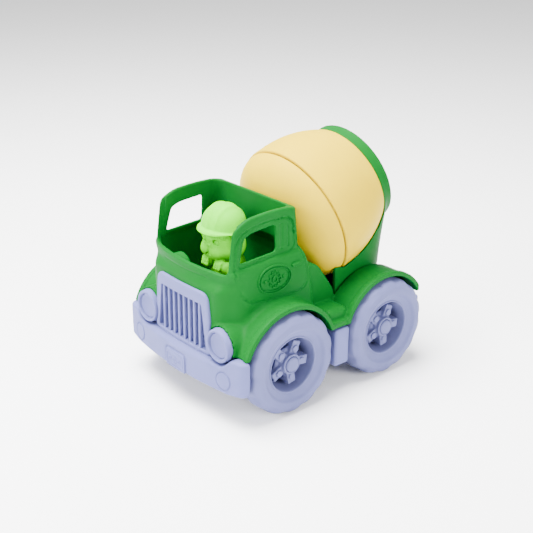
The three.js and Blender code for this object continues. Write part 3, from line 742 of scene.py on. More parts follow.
class Value:
    """A varying number in a material, which takes ordinary arithmetic."""

    def __init__(self, graph: Graph, socket: bpy.types.NodeSocket) -> None:
        """Wraps a node's output."""
        self.graph = graph
        self.socket = socket

    def math(self, operation: str, *others: "Value | float", first: float | None = None) -> "Value":
        """Applies a maths node, with this value second where a first one is given."""
        terms = [self, *others] if first is None else [first, self]
        return Value(self.graph, self.graph.node(
            "ShaderNodeMath", {"operation": operation}, dict(enumerate(terms))).outputs[0])

    def __add__(self, other: "Value | float") -> "Value":
        """Sum."""
        return self.math("ADD", other)

    __radd__ = __add__

    def __mul__(self, other: "Value | float") -> "Value":
        """Product."""
        return self.math("MULTIPLY", other)

    __rmul__ = __mul__

    def __sub__(self, other: "Value | float") -> "Value":
        """Difference."""
        return self.math("SUBTRACT", other)

    def __rsub__(self, other: float) -> "Value":
        """Difference, from a number."""
        return self.math("SUBTRACT", first=other)

    def __truediv__(self, other: "Value | float") -> "Value":
        """Quotient."""
        return self.math("DIVIDE", other)

    def ramp(self, low: float, high: float) -> "Value":
        """This value spread from 0 at low to 1 at high, smoothly."""
        return Value(self.graph, self.graph.node("ShaderNodeMapRange", {"interpolation_type": "SMOOTHSTEP"}, {
            0: self, 1: low, 2: high, 3: 0.0, 4: 1.0}).outputs[0])


@dataclass(frozen=True)
class Plastic:
    """Moulded plastic with a soft sheen, faint swirls of pigment and a fine grain."""

    name: str
    colour: Point
    swirl: Point
    roughness: float = 0.42
    grain: float = 0.08
    shine: float = 0.12

    def build(self) -> bpy.types.Material:
        """Makes the material."""
        graph = Graph(self.name)
        place = graph.node("ShaderNodeTexCoord").outputs["Object"]
        clouds = graph.noise(place, 26.0, 3.0)
        streaks = graph.noise(place, 140.0, 2.0)
        amount = (clouds * 0.75 + streaks * 0.25).ramp(0.4, 0.66)
        tint = graph.node("ShaderNodeMix", {"data_type": "RGBA"}, {
            0: amount, 6: (*self.colour, 1.0), 7: (*self.swirl, 1.0)})
        worn = graph.noise(place, 75.0, 4.0).ramp(0.35, 0.75)
        rough = worn * 0.07 + (self.roughness - 0.03)
        fine = graph.noise(place, 2600.0, 2.0)
        broad = graph.noise(place, 210.0, 2.0)
        grain = graph.node("ShaderNodeBump", inputs={
            "Strength": self.grain, "Distance": 0.0002, "Height": fine + broad * 0.7})
        surface = graph.node("ShaderNodeBsdfPrincipled", inputs={
            "Base Color": tint.outputs[2], "Roughness": rough, "Normal": grain.outputs[0],
            "IOR": 1.47, "Specular IOR Level": self.shine})
        end = graph.node("ShaderNodeOutputMaterial")
        graph.tree.links.new(surface.outputs[0], end.inputs[0])
        return graph.material


@dataclass
class Workshop:
    """What every sub-assembly uses: the finishes, the lathe and the row tree."""

    finishes: dict[Slot, bpy.types.Material]
    lathe: Lathe
    row: NodeTree

    def claim(self, piece: bpy.types.Object, body: Body, slot: Slot, *nodes: str) -> bpy.types.Object:
        """Paints a piece and puts it on its body in place of CAD nodes.

        Args:
            piece: The finished piece.
            body: The body that it rides on.
            slot: Its material slot.
            nodes: The CAD nodes that it stands for.

        Returns:
            The piece.
        """
        piece.data.materials.clear()
        piece.data.materials.append(self.finishes[slot])
        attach(piece, body.value)
        if nodes:
            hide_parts(*nodes)
        log.info("built %s: %d faces", piece.name, len(piece.data.polygons))
        return piece

    def keep(self, node: str, slot: Slot) -> None:
        """Paints a CAD node that is shown as it is."""
        shown = next(o for o in bpy.data.objects if o.get("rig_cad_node") == node)
        shown.material_slots[0].material = self.finishes[slot]
        log.info("kept %s", node)


# ------------------------------------------------------------------ drum
@dataclass(frozen=True)
class DrumForm:
    """The drum's size and place, in millimetres; lengths run back from its seam."""

    seam_y: float = joint_spot("drum_spin")[0]
    seam_z: float = joint_spot("drum_spin")[1]
    tilt: float = joint_tilt("drum_spin")
    nose_length: float = 27.0
    seam_radius: float = 51.9
    radius: float = 53.0
    crown_at: float = 8.0
    length: float = 51.2
    end_radius: float = 41.8
    taper: float = 2.2
    neck_radius: float = 38.0
    neck_end: float = 56.0
    mouth_end: float = 62.4
    mouth_radius: float = 38.0
    bore_radius: float = 34.6
    wall: float = 2.4

    def along(self, y: Array, z: Array) -> Array:
        """Length along the axis, from the seam."""
        t = math.radians(self.tilt)
        return (y - self.seam_y) * math.cos(t) + (z - self.seam_z) * math.sin(t)

    def out(self, x: Array, y: Array, z: Array) -> Array:
        """Distance from the axis."""
        t = math.radians(self.tilt)
        return np.sqrt(x**2 + ((z - self.seam_z) * math.cos(t) - (y - self.seam_y) * math.sin(t)) ** 2)

    def barrel(self, length: float) -> float:
        """The barrel's radius at a length."""
        past = max(0.0, length - self.crown_at) / (self.length - self.crown_at)
        return self.radius - (self.radius - self.end_radius) * past**self.taper

    def nose(self, grow: float, steps: int) -> list[Pair]:
        """The nose's profile, from its tip to just short of the seam."""
        angles = [math.pi / 2 * i / steps for i in range(steps + 1)]
        across, ahead = self.seam_radius + grow, self.nose_length + grow
        return [(across * math.sin(a), -ahead * math.cos(a)) for a in angles]

    def sides(self, grow: float, steps: int) -> list[Pair]:
        """The barrel's profile, from the seam to its end."""
        lengths = [self.length * i / steps for i in range(steps + 1)]
        return [(self.barrel(length) + grow, length) for length in lengths]

    def space(self, clearance: float, bore: float) -> Solid:
        """The space that the drum turns in.

        Args:
            clearance: How far the space stands off the nose and the barrel.
            bore: The radius of the space round the neck.

        Returns:
            The space as a solid.
        """
        section = [*self.nose(clearance, 14)[:-1], *self.sides(clearance, 10)]
        end, beyond, middle = self.length + 0.3, 80.0, -5.0
        section += [(section[-1][0], end), (bore, end), (bore, beyond), (middle, beyond)]
        section += [(middle, section[0][1])]
        return Solid(lambda x, y, z: outline_gap(self.out(x, y, z), self.along(y, z), section))

    @property
    def place(self) -> Matrix:
        """Takes a piece turned about Z onto the drum's axis."""
        turn = Matrix.Rotation(math.radians(self.tilt - 90), 4, "X")
        return Matrix.Translation(Vector((0, self.seam_y, self.seam_z)) * MM) @ turn


@dataclass
class Drum:
    """The yellow mixing drum: nose, barrel and mouth."""

    form: DrumForm
    segments: int = 192
    seam_round: float = 1.1
    lip_round: float = 1.4

    def build(self, shop: Workshop) -> None:
        """Turns the three pieces and sets them on the tilted axis."""
        f = self.form
        nose = f.nose(0.0, 40)
        inner = f.nose(-f.wall, 24)
        front = [*nose[:-2], (f.seam_radius - 0.1, -1.6), (f.seam_radius - 0.9, -0.7), *reversed(inner)]
        sides = f.sides(0.0, 30)
        r = self.seam_round
        bead = [(f.radius - 2.0, 0.1), (f.radius - 0.5, 0.15), (f.radius - 0.12, 0.45), (f.radius, r)]
        tail = [(f.end_radius - 1.0, f.length + 0.25), (f.neck_radius + 0.8, f.length + 0.3)]
        neck = [(f.neck_radius, f.length + 1.0), (f.neck_radius, f.neck_end)]
        neck += [(f.neck_radius - f.wall, f.neck_end)]
        inside = [(radius, length - 2.0 if length > 2 else 0.15)
                  for radius, length in reversed(f.sides(-f.wall, 14))]
        rear = [*bead, *sides[1:], *tail, *neck, *inside]
        e = self.lip_round
        rim = arc((f.mouth_radius - e, f.mouth_end - e), e, 0, 90)
        mouth = [(f.bore_radius, f.neck_end + 0.1), (f.mouth_radius, f.neck_end + 0.1), *rim,
                 (f.bore_radius + 0.6, f.mouth_end), (f.bore_radius, f.mouth_end - 0.6)]
        pieces = (("drum_nose", "drum_front_shell", front), ("drum_barrel", "drum_rear_shell", rear),
                  ("drum_lip", "drum_mouth", mouth))
        for name, node, profile in pieces:
            piece = shop.lathe.turn(name, profile, self.segments, shop.finishes[Slot.DRUM])
            piece.data.transform(f.place)
            shop.claim(piece, Body.DRUM, Slot.DRUM, node)


# ------------------------------------------------------------------ body shell
@dataclass
class BodyShell:
    """The green moulding: cab, mudguards, footsteps, bed and the block under the drum."""

    drum: DrumForm
    wall: float = 3.0
    skirt_z: float = 51.0
    floor_z: float = 57.5
    cowl_z: float = 103.6
    cheek_half: float = 40.3
    axles: Outline = AXLES
    guard_radius: float = 42.2
    lip_radius: float = 43.0
    well_radius: float = 39.4
    half_width: float = 65.5
    lamp: Pair = (41.4, 56.2)
    door: Outline = (
        (-74.6, 106), (-73, 124.5), (-69, 130.5), (-61.5, 133.2), (-45.5, 135.6), (-27, 134.5),
        (-23.2, 130.5), (-18.2, 110), (-16, 102), (-13.7, 88), (-15.5, 83), (-22, 80.3), (-43.5, 81),
        (-64, 82.8), (-70, 87.5), (-74, 97))
    window: Outline = (
        (-69.5, 110), (-65, 127), (-58, 129.6), (-28.5, 131.8), (-25.6, 129), (-24.6, 114), (-26.6, 112.4))
    window_rear_y: float = -37.5
    rim: Outline = (
        (-95, 40), (-95, 104), (-78.5, 127), (-72.5, 135.2), (-62, 140), (-45, 141.3), (-29, 141.2),
        (-19, 139.2), (-5, 136.5), (20, 40))
    sculpt: Sculpt = field(default_factory=lambda: Sculpt(1.5, 15.0, 0.5, 2))

    def side(self, y: Array, z: Array) -> Array:
        """Half the cab's width: nearly upright sides with a shoulder under the windows."""
        crease = 106.5 + 0.068 * (np.clip(y, -80, -12) + 76)
        t = np.clip((crease - z) / 14.0, 0.0, 1.0)
        shoulder = 3.9 * (1 - (1 - t) ** 2) ** 0.62
        return np.minimum(42.2 + 0.045 * (139 - z) + shoulder, 48.7)

    def front(self, x: Array, z: Array) -> Array:
        """Y of the cab's bowed front."""
        low = smooth_step(z, 98, 90) * smooth_step(np.abs(x), 44, 33)
        return -84.6 + x**2 / 270 + 0.12 * np.maximum(z - 100, 0) - low * (1.5 + x**2 / 560)

    def rear(self, z: Array) -> Array:
        """Y of the cab's back, which leans out below the windows."""
        return np.interp(z, [50, 98, 105, 112, 139], [-3.5, -10.7, -12.7, -16.7, -18.6])

    def plan(self, x: Array, y: Array, z: Array) -> Array:
        """Distance to the cab's upright faces."""
        beside = np.abs(x) - self.side(y, z)
        corner = 12.0 - 9.0 * smooth_step(z, 97, 104.5)
        ahead = round_max(beside, self.front(x, z) - y, corner)
        return np.maximum(ahead, round_max(beside, y - self.rear(z), 4.5))

    def cab(self) -> Solid:
        """The cab's outside."""
        rim = rounded(self.rim, 5.0)

        def measure(x: Array, y: Array, z: Array) -> Array:
            """Distance to the cab."""
            body = round_max(self.plan(x, y, z), outline_gap(y, z, rim), 1.3)
            return np.maximum(body, self.skirt_z - z)

        return Solid(measure)

    def cavity(self) -> Solid:
        """The cab's inside, open at the top, and its windscreen."""
        def inside(x: Array, y: Array, z: Array) -> Array:
            """Distance to the inside."""
            beside = np.maximum(np.abs(x) - self.side(y, z) + self.wall, np.abs(x) - 41.0)
            behind = round_max(beside, y - self.rear(z) + self.wall, 9.0)
            walls = np.maximum(np.maximum(self.plan(x, y, z) + self.wall, beside), behind)
            walls = np.maximum(walls, np.where(z < 90, -73.2 - y, -200.0))
            return round_max(walls, self.floor_z - z, 3.0)

        def screen(x: Array, y: Array, z: Array) -> Array:
            """Distance to the windscreen."""
            sill = self.cowl_z - x**2 / 2500
            return np.maximum(round_max(np.abs(x) - self.cheek_half, sill - z, 5.0), y + 70)

        return Solid(inside).join(Solid(screen))

    def windows(self) -> Solid:
        """The side windows with their stepped frames."""
        opening = rounded(self.window, 3.0)

        def measure(x: Array, y: Array, z: Array) -> Array:
            """Distance to the openings and the steps round them."""
            gap = outline_gap(y, z, opening)
            depth = self.side(y, z) - np.abs(x)
            step = round_max(gap - 3.2, depth - 1.0, 0.2)
            slots = np.exp(-(((y + 32.6) / 1.5) ** 4)) + np.exp(-(((y + 26.6) / 0.9) ** 4))
            blind = round_max(gap + 0.5, depth - 1.1 - 0.5 * slots, 0.3)
            through = np.maximum(round_max(gap, y - self.window_rear_y, 2.5), 30 - np.abs(x))
            return np.minimum(np.minimum(through, blind), step)

        return Solid(measure)

    def guard(self, axle: Pair) -> Solid:
        """A pair of mudguards over an axle, with a raised lip round the rim."""
        def measure(x: Array, y: Array, z: Array) -> Array:
            """Distance to the mudguards."""
            ax = np.abs(x)
            radius = self.guard_radius + (self.lip_radius - self.guard_radius) * smooth_step(ax, 60.9, 61.7)
            around = np.sqrt((y - axle[0]) ** 2 + (z - axle[1]) ** 2) - radius
            skirt = round_max(self.skirt_z - z, y - 85.5, 1.5)
            return round_max(round_max(around, ax - self.half_width, 0.9), skirt, 0.8)

        return Solid(measure)

    def wells(self) -> Solid:
        """The wheel wells."""
        def measure(x: Array, y: Array, z: Array) -> Array:
            """Distance to the nearest well."""
            rounds = [np.sqrt((y - a) ** 2 + (z - b) ** 2) - self.well_radius for a, b in self.axles]
            return np.maximum(np.minimum(*rounds), 45.8 - np.abs(x))

        return Solid(measure)

    def bed(self) -> Solid:
        """The deck between the rear mudguards, sunk at the back."""
        plank = block((-64.9, -22, 51), (64.9, 14, 54.0), 0.8)
        edge = block((61.6, -22, 51), (65.3, 16, 55.6), 0.7).mirrored()
        floor = block((-45.8, -20, 51), (45.8, 84.5, 55.3), 0.6)
        drop = block((-45.8, 58, 48), (45.8, 84.5, 55.3), 0.6)
        return joined([plank, edge, floor, drop], 0.6)

    def block(self) -> Solid:
        """The block behind the cab that the drum's nose hangs over."""
        side = [(-18, 51), (18, 51), (18, 61), (16.5, 70), (1, 92), (-5, 95), (-18, 95)]
        return prism_x(rounded(side, 4.0), -44, 44, 1.6)

    def outside(self) -> Solid:
        """Everything before the hollows are cut."""
        front, rear = self.axles
        lamp_x, lamp_z = self.lamp
        pods = rod_y(13.6, -84.9, -60, lamp_x, lamp_z, 1.0).mirrored()
        nose = self.cab().join(self.guard(front), 4.5).join(pods, 3.0)
        between = block((-43.2, -60, 55.3), (43.2, 140, 130), 0.5)
        sunk = block((-43.5, 60, 51), (43.5, 120, 80), 0.6)
        tail = self.guard(rear).cut(between, 0.6).join(self.bed(), 1.6).cut(sunk, 0.6)
        steps = block((38, -5, 45), (61.6, 14.8, 63.0), 4.0).mirrored()
        whole = nose.join(self.block(), 1.4).join(tail, 1.6).join(steps, 1.6)
        return Solid(lambda x, y, z: np.maximum(whole(x, y, z), np.where(y > 57.5, 48.0, self.skirt_z) - z))

    def shape(self) -> Solid:
        """The whole moulding."""
        lamp_x, lamp_z = self.lamp
        seats = rod_y(12.6, -110, -83.7, lamp_x, lamp_z).mirrored()
        under = block((-40, -72, 40), (40, -16, 54.5), 2.0)
        rest = self.outside().cut(self.wells(), 0.5).cut(self.cavity(), 0.9).cut(self.windows(), 0.5)
        chamber = prism_y([(-31.6, 44), (31.6, 44), (27.6, 82), (-27.6, 82)], -95, -76.2, 0.6)
        return rest.cut(seats).cut(under).cut(chamber).cut(self.drum.space(1.2, 38.4), 0.5)

    @property
    def door_line(self) -> list[Pair]:
        """The door's outline with its corners rounded."""
        return rounded(self.door, 3.5)

    def relief(self, x: Array, y: Array, z: Array) -> Array:
        """Depth of the grooves: the doors' outlines and two folds under the cowl."""
        skin = smooth_step(np.abs(x) - self.side(y, z), -2.6, -1.7)
        gap = outline_gap(y, z, self.door_line)
        door = 1.5 * np.exp(-((gap / 0.62) ** 2)) * skin
        face = smooth_step(y - self.front(x, z), 1.6, 0.8)
        fold = 0.3 * np.exp(-(((z - 98.6) / 0.55) ** 2)) * smooth_step(np.abs(x), 26, 23) * face
        return door + fold

    def build(self, shop: Workshop) -> None:
        """Meshes the moulding and claims it."""
        points, faces = self.sculpt.mesh(self.shape(), (-67.5, -87, 46), (67.5, 88, 143), self.relief)
        shop.claim(new_object("truck_shell", points, faces), Body.CHASSIS, Slot.SHELL, "body_shell")


# ------------------------------------------------------------------ cab trim
@dataclass
class CabTrim:
    """Door badges, door handles and the hump inside the cab."""

    shell: BodyShell
    badge_y: float = -43.7
    badge_z: float = 95.1
    badge_half: Pair = (14.9, 9.9)
    teeth: int = 10
    sculpt: Sculpt = field(default_factory=lambda: Sculpt(0.35, 18.0, 0.2, 1))

    def raised(self, pattern: Callable[[Array, Array], Array], height: float, round_edge: float) -> Solid:
        """A pattern in (y, z) that stands off the cab's side."""
        def measure(x: Array, y: Array, z: Array) -> Array:
            """Distance to the raised pattern."""
            off = x - self.shell.side(y, z)
            return round_max(pattern(y, z), np.abs(off) - height, round_edge)

        return Solid(measure)

    def badge_pattern(self, y: Array, z: Array) -> Array:
        """Distance to the badge's double oval and the gear wheel in it."""
        u, v = y - self.badge_y, z - self.badge_z
        wide, high = self.badge_half
        size = np.sqrt((u / wide) ** 2 + (v / high) ** 2)
        slope = np.sqrt((u * high / wide) ** 2 + (v * wide / high) ** 2 + 1e-6)
        oval = (size - 1.0) * size * (wide * high) / slope
        rims = np.minimum(np.abs(oval + 0.55) - 0.5, np.abs(oval + 2.2) - 0.28)
        reach = np.sqrt(u**2 + v**2)
        turn = np.arctan2(v, u)
        gear = np.abs(reach - 4.9 - 0.6 * np.tanh(3 * np.cos(self.teeth * turn))) - 0.5
        hub = np.abs(reach - 2.1) - 0.45
        turns = [math.pi * k / 3 for k in range(6)]
        nut = rounded([(8.2 + 1.5 * math.cos(a), 1.5 * math.sin(a)) for a in turns], 0.3, 1)
        nuts = outline_gap(np.abs(u), v, nut)
        return np.minimum(np.minimum(rims, gear), np.minimum(hub, nuts))

    def build(self, shop: Workshop) -> None:
        """Meshes the left side's trim and mirrors it to the right."""
        badge = self.raised(self.badge_pattern, 0.85, 0.25)
        grip = rounded([(-28.3, 99.8), (-20, 100.3), (-20, 102.6), (-28.3, 102.1)], 0.9)
        bar = self.raised(lambda y, z: outline_gap(y, z, grip), 1.7, 0.6)
        spans = {"door_badge": (badge, (45, -60, 84), (51, -28, 106)),
                 "door_handle": (bar, (44, -30, 98), (52, -18, 104))}
        for label, (solid, low, high) in spans.items():
            points, faces = self.sculpt.mesh(solid, low, high)
            base = new_object(f"{label}_base", points, faces)
            for side in Side:
                piece = placed(f"{label}_{side.label}_trim", base, Matrix.Scale(side.value, 4, (1, 0, 0)))
                shop.claim(piece, Body.CHASSIS, Slot.SHELL, f"{label}_{side.label}")
            bpy.data.objects.remove(base)
        profile = rounded([(-28, 90), (-28, 98), (-19, 102), (-10, 98), (-10, 90)], 4.0)
        hump = prism_y(profile, -80.8, -70.5, 1.0)
        points, faces = Sculpt(0.7, 16.0, 0.4, 1).mesh(hump, (-30, -83, 88), (-8, -69, 104))
        shop.claim(new_object("cowl_hump", points, faces), Body.CHASSIS, Slot.SHELL, "dash_hump")


# ------------------------------------------------------------------ front
@dataclass
class Front:
    """The grey front: bumper, number plate, fog lamps, grille and headlamps."""

    bow: float = 620.0
    face_y: float = -93.0
    half_width: float = 67.0
    lamp: Pair = (41.4, 56.2)
    lamp_back_y: float = -83.7
    fog: Pair = (49.1, 33.5)
    bar_count: int = 8
    bar_pitch: float = 5.9
    bar_width: float = 2.1
    grille_y: float = -88.2

    def bumper(self) -> Solid:
        """The bumper, scooped under the headlamps and raised at its ends."""
        lamp_x, lamp_z = self.lamp

        def measure(x: Array, y: Array, z: Array) -> Array:
            """Distance to the bumper."""
            ax = np.abs(x)
            ahead = self.face_y + x**2 / self.bow - y
            top = 43.2 + 7.6 * smooth_step(ax, 44, 57)
            ends = round_max(ahead, ax - self.half_width + 0.04 * np.maximum(34 - z, 0), 4.5)
            level = np.maximum(z - top, 23.6 + 1.6 * smooth_step(ax, 50, 67) - z)
            return np.maximum(round_max(ends, level, 2.4), y + 80.6)

        scoop = rod_y(13.4, -120, -60, lamp_x, lamp_z).mirrored()
        foot = prism_y([(-36, 40), (36, 40), (34.6, 43.8), (-34.6, 43.8)], -90.0, -80.6, 1.2)
        return Solid(measure).join(foot, 1.6).cut(scoop, 1.4)

    @property
    def plate_line(self) -> list[Pair]:
        """The outline of the groove round the number plate."""
        return rounded([(-11.6, 15), (11.6, 15), (11.6, 38.4), (-11.6, 38.4)], 3.8)

    def bumper_relief(self, x: Array, y: Array, z: Array) -> Array:
        """Depth of the groove round the number plate and the rings of the fog lamps."""
        face = smooth_step(y - (self.face_y + x**2 / self.bow), 2.4, 1.2)
        plate = outline_gap(x, z, self.plate_line)
        fog_x, fog_z = self.fog
        reach = np.sqrt(((np.abs(x) - fog_x) * 1.03) ** 2 + (z - fog_z) ** 2)
        groove = 1.7 * np.exp(-(((plate - 0.2) / 0.6) ** 2))
        return face * (groove + 0.8 * np.exp(-(((reach - 6.5) / 0.5) ** 2)))

    def bowed(self, pattern: Callable[[Array, Array], Array], base_y: float, depth: float,
              edge: float) -> Solid:
        """A pattern in (x, z) that follows the front's bow.

        Args:
            pattern: Signed distance to the pattern.
            base_y: Y of its front at the middle.
            depth: How far back it reaches.
            edge: The radius of its front edge.

        Returns:
            The pattern as a solid.
        """
        def measure(x: Array, y: Array, z: Array) -> Array:
            """Distance to the bowed pattern."""
            off = base_y + x**2 / self.bow - y
            return np.maximum(round_max(pattern(x, z), off, edge), -off - depth)

        return Solid(measure)

    def plate(self) -> Solid:
        """The number plate: a panel with a raised rim and a plain row of rivets."""
        outer = rounded([(-10.9, 22.0), (10.9, 22.0), (10.9, 37.6), (-10.9, 37.6)], 3.4)

        def pattern(x: Array, z: Array) -> Array:
            """Distance to the panel, kept above the bumper's lower edge."""
            return np.maximum(outline_gap(x, z, outer), 24.2 - z)

        inner = rounded([(-8.9, 26.2), (8.9, 26.2), (8.9, 35.6), (-8.9, 35.6)], 2.2)

        def marks(x: Array, z: Array) -> Array:
            """Distance to the raised rim and motif."""
            rim = np.abs(outline_gap(x, z, inner)) - 0.28
            dots = np.sqrt((np.abs(x) - 5.2) ** 2 + (z - 30.9) ** 2) - 1.25
            diamond = np.abs(x) + np.abs(z - 30.9) - 2.6
            return np.minimum(np.minimum(rim, np.abs(dots) - 0.4), np.abs(diamond) * 0.7 - 0.4)

        panel = self.bowed(pattern, self.face_y - 0.75, 2.2, 0.5)
        return panel.join(self.bowed(marks, self.face_y - 1.15, 1.4, 0.2))

    def fog_lamp(self) -> Solid:
        """A fog lamp's shallow disc, on the left."""
        fog_x, fog_z = self.fog

        def pattern(x: Array, z: Array) -> Array:
            """Distance to the disc."""
            return np.sqrt(((x - fog_x) * 1.03) ** 2 + (z - fog_z) ** 2) - 5.9

        return self.bowed(pattern, self.face_y - 0.3, 1.4, 0.45)

    def grille(self) -> Solid:
        """The grille's frame with its deep opening."""
        frame = rounded([(-33.4, 43.4), (33.4, 43.4), (28.2, 88.8), (-28.2, 88.8)], 7.0, 6)
        hole = rounded([(-27.6, 46.8), (27.6, 46.8), (23.0, 80.2), (-23.0, 80.2)], 1.6)
        plate = self.bowed(lambda x, z: outline_gap(x, z, frame), self.grille_y, 5.6, 1.3)
        lamp_x, lamp_z = self.lamp
        seat = rod_y(12.4, -120, -60, lamp_x, lamp_z).mirrored()
        cut = Solid(lambda x, y, z: outline_gap(x, z, hole))
        return plate.cut(cut, 0.5).cut(seat, 0.6)

    def lining(self) -> Solid:
        """The box behind the grille, open to the front."""
        outer = [(-31.0, 45.0), (31.0, 45.0), (27.0, 81.4), (-27.0, 81.4)]
        inner = [(-29.4, 46.4), (29.4, 46.4), (25.4, 80.2), (-25.4, 80.2)]
        return prism_y(outer, -83.4, -76.8, 0.5).cut(prism_y(inner, -99, -78.2, 0.6))

    def bars(self, shop: Workshop) -> bpy.types.Object:
        """The grille's upright bars, as a row."""
        half = self.bar_width / 2
        bar = block((-half, self.grille_y + 1.0, 46.2), (half, -84.2, 81.2), 0.4)
        points, faces = Sculpt(0.62, 25.0, 0.5, 0).mesh(bar, (-2.5, -89, 46), (2.5, -82, 83))
        base = new_object("grille_bar", points, faces)
        base.data.materials.append(shop.finishes[Slot.CHASSIS])
        return shop.row.apply(base, "grille_bars", {
            "Count": self.bar_count, "Pitch": self.bar_pitch * MM, "Material": shop.finishes[Slot.CHASSIS]})

    def lamp_profiles(self) -> dict[str, list[Pair]]:
        """Profiles of the headlamp's barrel and lens, from back to front."""
        crest = arc((10.6, 3.75), 1.15, 20, 160, 8)
        barrel = [(8.0, 0.3), (12.2, 0.3), (12.2, 0.9), (11.75, 3.1), *crest,
                  (9.2, 3.0), (9.1, 2.5), (8.0, 2.3)]
        lens = [(0, 1.5), (7.6, 1.5), (8.9, 1.8), (8.9, 2.6), (8.4, 3.05), (7.8, 2.9), (6.9, 2.5),
                (5, 2.3), (0, 2.2)]
        return {"headlamp": barrel, "headlamp_lens": lens}

    def build(self, shop: Workshop) -> None:
        """Builds the grey front."""
        fine = Sculpt(0.95, 14.0, 0.4, 2)
        points, faces = fine.mesh(self.bumper(), (-69, -95, 21), (69, -78, 53), self.bumper_relief)
        shop.claim(new_object("bumper", points, faces), Body.CHASSIS, Slot.CHASSIS, "front_bumper")
        points, faces = Sculpt(0.4, 16.0, 0.22, 1).mesh(self.plate(), (-13, -96, 22), (13, -90, 40))
        shop.claim(new_object("plate", points, faces), Body.CHASSIS, Slot.CHASSIS, "number_plate")
        points, faces = Sculpt(0.8, 14.0, 0.4, 2).mesh(self.grille(), (-36, -90, 42), (36, -81, 92))
        shop.claim(new_object("grille_frame", points, faces), Body.CHASSIS, Slot.CHASSIS, "grille")
        shop.claim(self.bars(shop), Body.CHASSIS, Slot.CHASSIS)
        points, faces = Sculpt(0.8, 20.0, 0.6, 0).mesh(self.lining(), (-32, -85, 43), (32, -75, 83))
        shop.claim(new_object("grille_lining", points, faces), Body.CHASSIS, Slot.CHASSIS)
        points, faces = Sculpt(0.6, 14.0, 0.4, 1).mesh(self.fog_lamp(), (42, -91, 26), (57, -86, 41))
        fog = new_object("fog_base", points, faces)
        lamp_x, lamp_z = self.lamp
        for side in Side:
            piece = placed(f"fog_disc_{side.label}", fog, Matrix.Scale(side.value, 4, (1, 0, 0)))
            shop.claim(piece, Body.CHASSIS, Slot.CHASSIS, f"fog_lamp_{side.label}")
            for label, profile in self.lamp_profiles().items():
                name = f"{label}_{side.label}_turned"
                piece = shop.lathe.turn(name, profile, 96, shop.finishes[Slot.CHASSIS])
                spot = Vector((side.value * lamp_x, self.lamp_back_y, lamp_z)) * MM
                piece.data.transform(Matrix.Translation(spot) @ Matrix.Rotation(math.pi / 2, 4, "X"))
                shop.claim(piece, Body.CHASSIS, Slot.CHASSIS, f"{label}_{side.label}")
        bpy.data.objects.remove(fog)


# ------------------------------------------------------------------ chassis
@dataclass
class Chassis:
    """The grey chassis with its side tanks and rear bumper."""

    axles: Outline = AXLES
    sculpt: Sculpt = field(default_factory=lambda: Sculpt(1.3, 15.0, 0.6, 1))

    def shape(self) -> Solid:
        """The frame, open from below."""
        rail = block((-42, -80, 24), (42, 57.5, 50.7), 1.2)
        tail = block((-42, 40, 24), (42, 87, 47.7), 1.2)
        tank = block((20, -1.5, 21), (66.2, 12.3, 49.5), 2.2).mirrored()
        bar = block((-60, 86, 37), (60, 92.4, 49.5), 2.2)
        bays = [block((-39, y0, 10), (39, y1, 46.5), 2.0) for y0, y1 in ((-77, -48), (-36, 44), (56, 84))]
        axles = [rod_x(3.1, -80, 80, y, z) for y, z in self.axles]
        hollow = block((43, 1.5, 10), (61.5, 9.4, 46), 1.0).mirrored()
        return joined([rail, tail, tank, bar], 0.8).cut(joined([*bays, *axles, hollow]), 0.5)

    def build(self, shop: Workshop) -> None:
        """Meshes the frame."""
        points, faces = self.sculpt.mesh(self.shape(), (-64, -82, 19), (64, 94, 53))
        shop.claim(new_object("frame_rails", points, faces), Body.CHASSIS, Slot.CHASSIS, "chassis_frame")


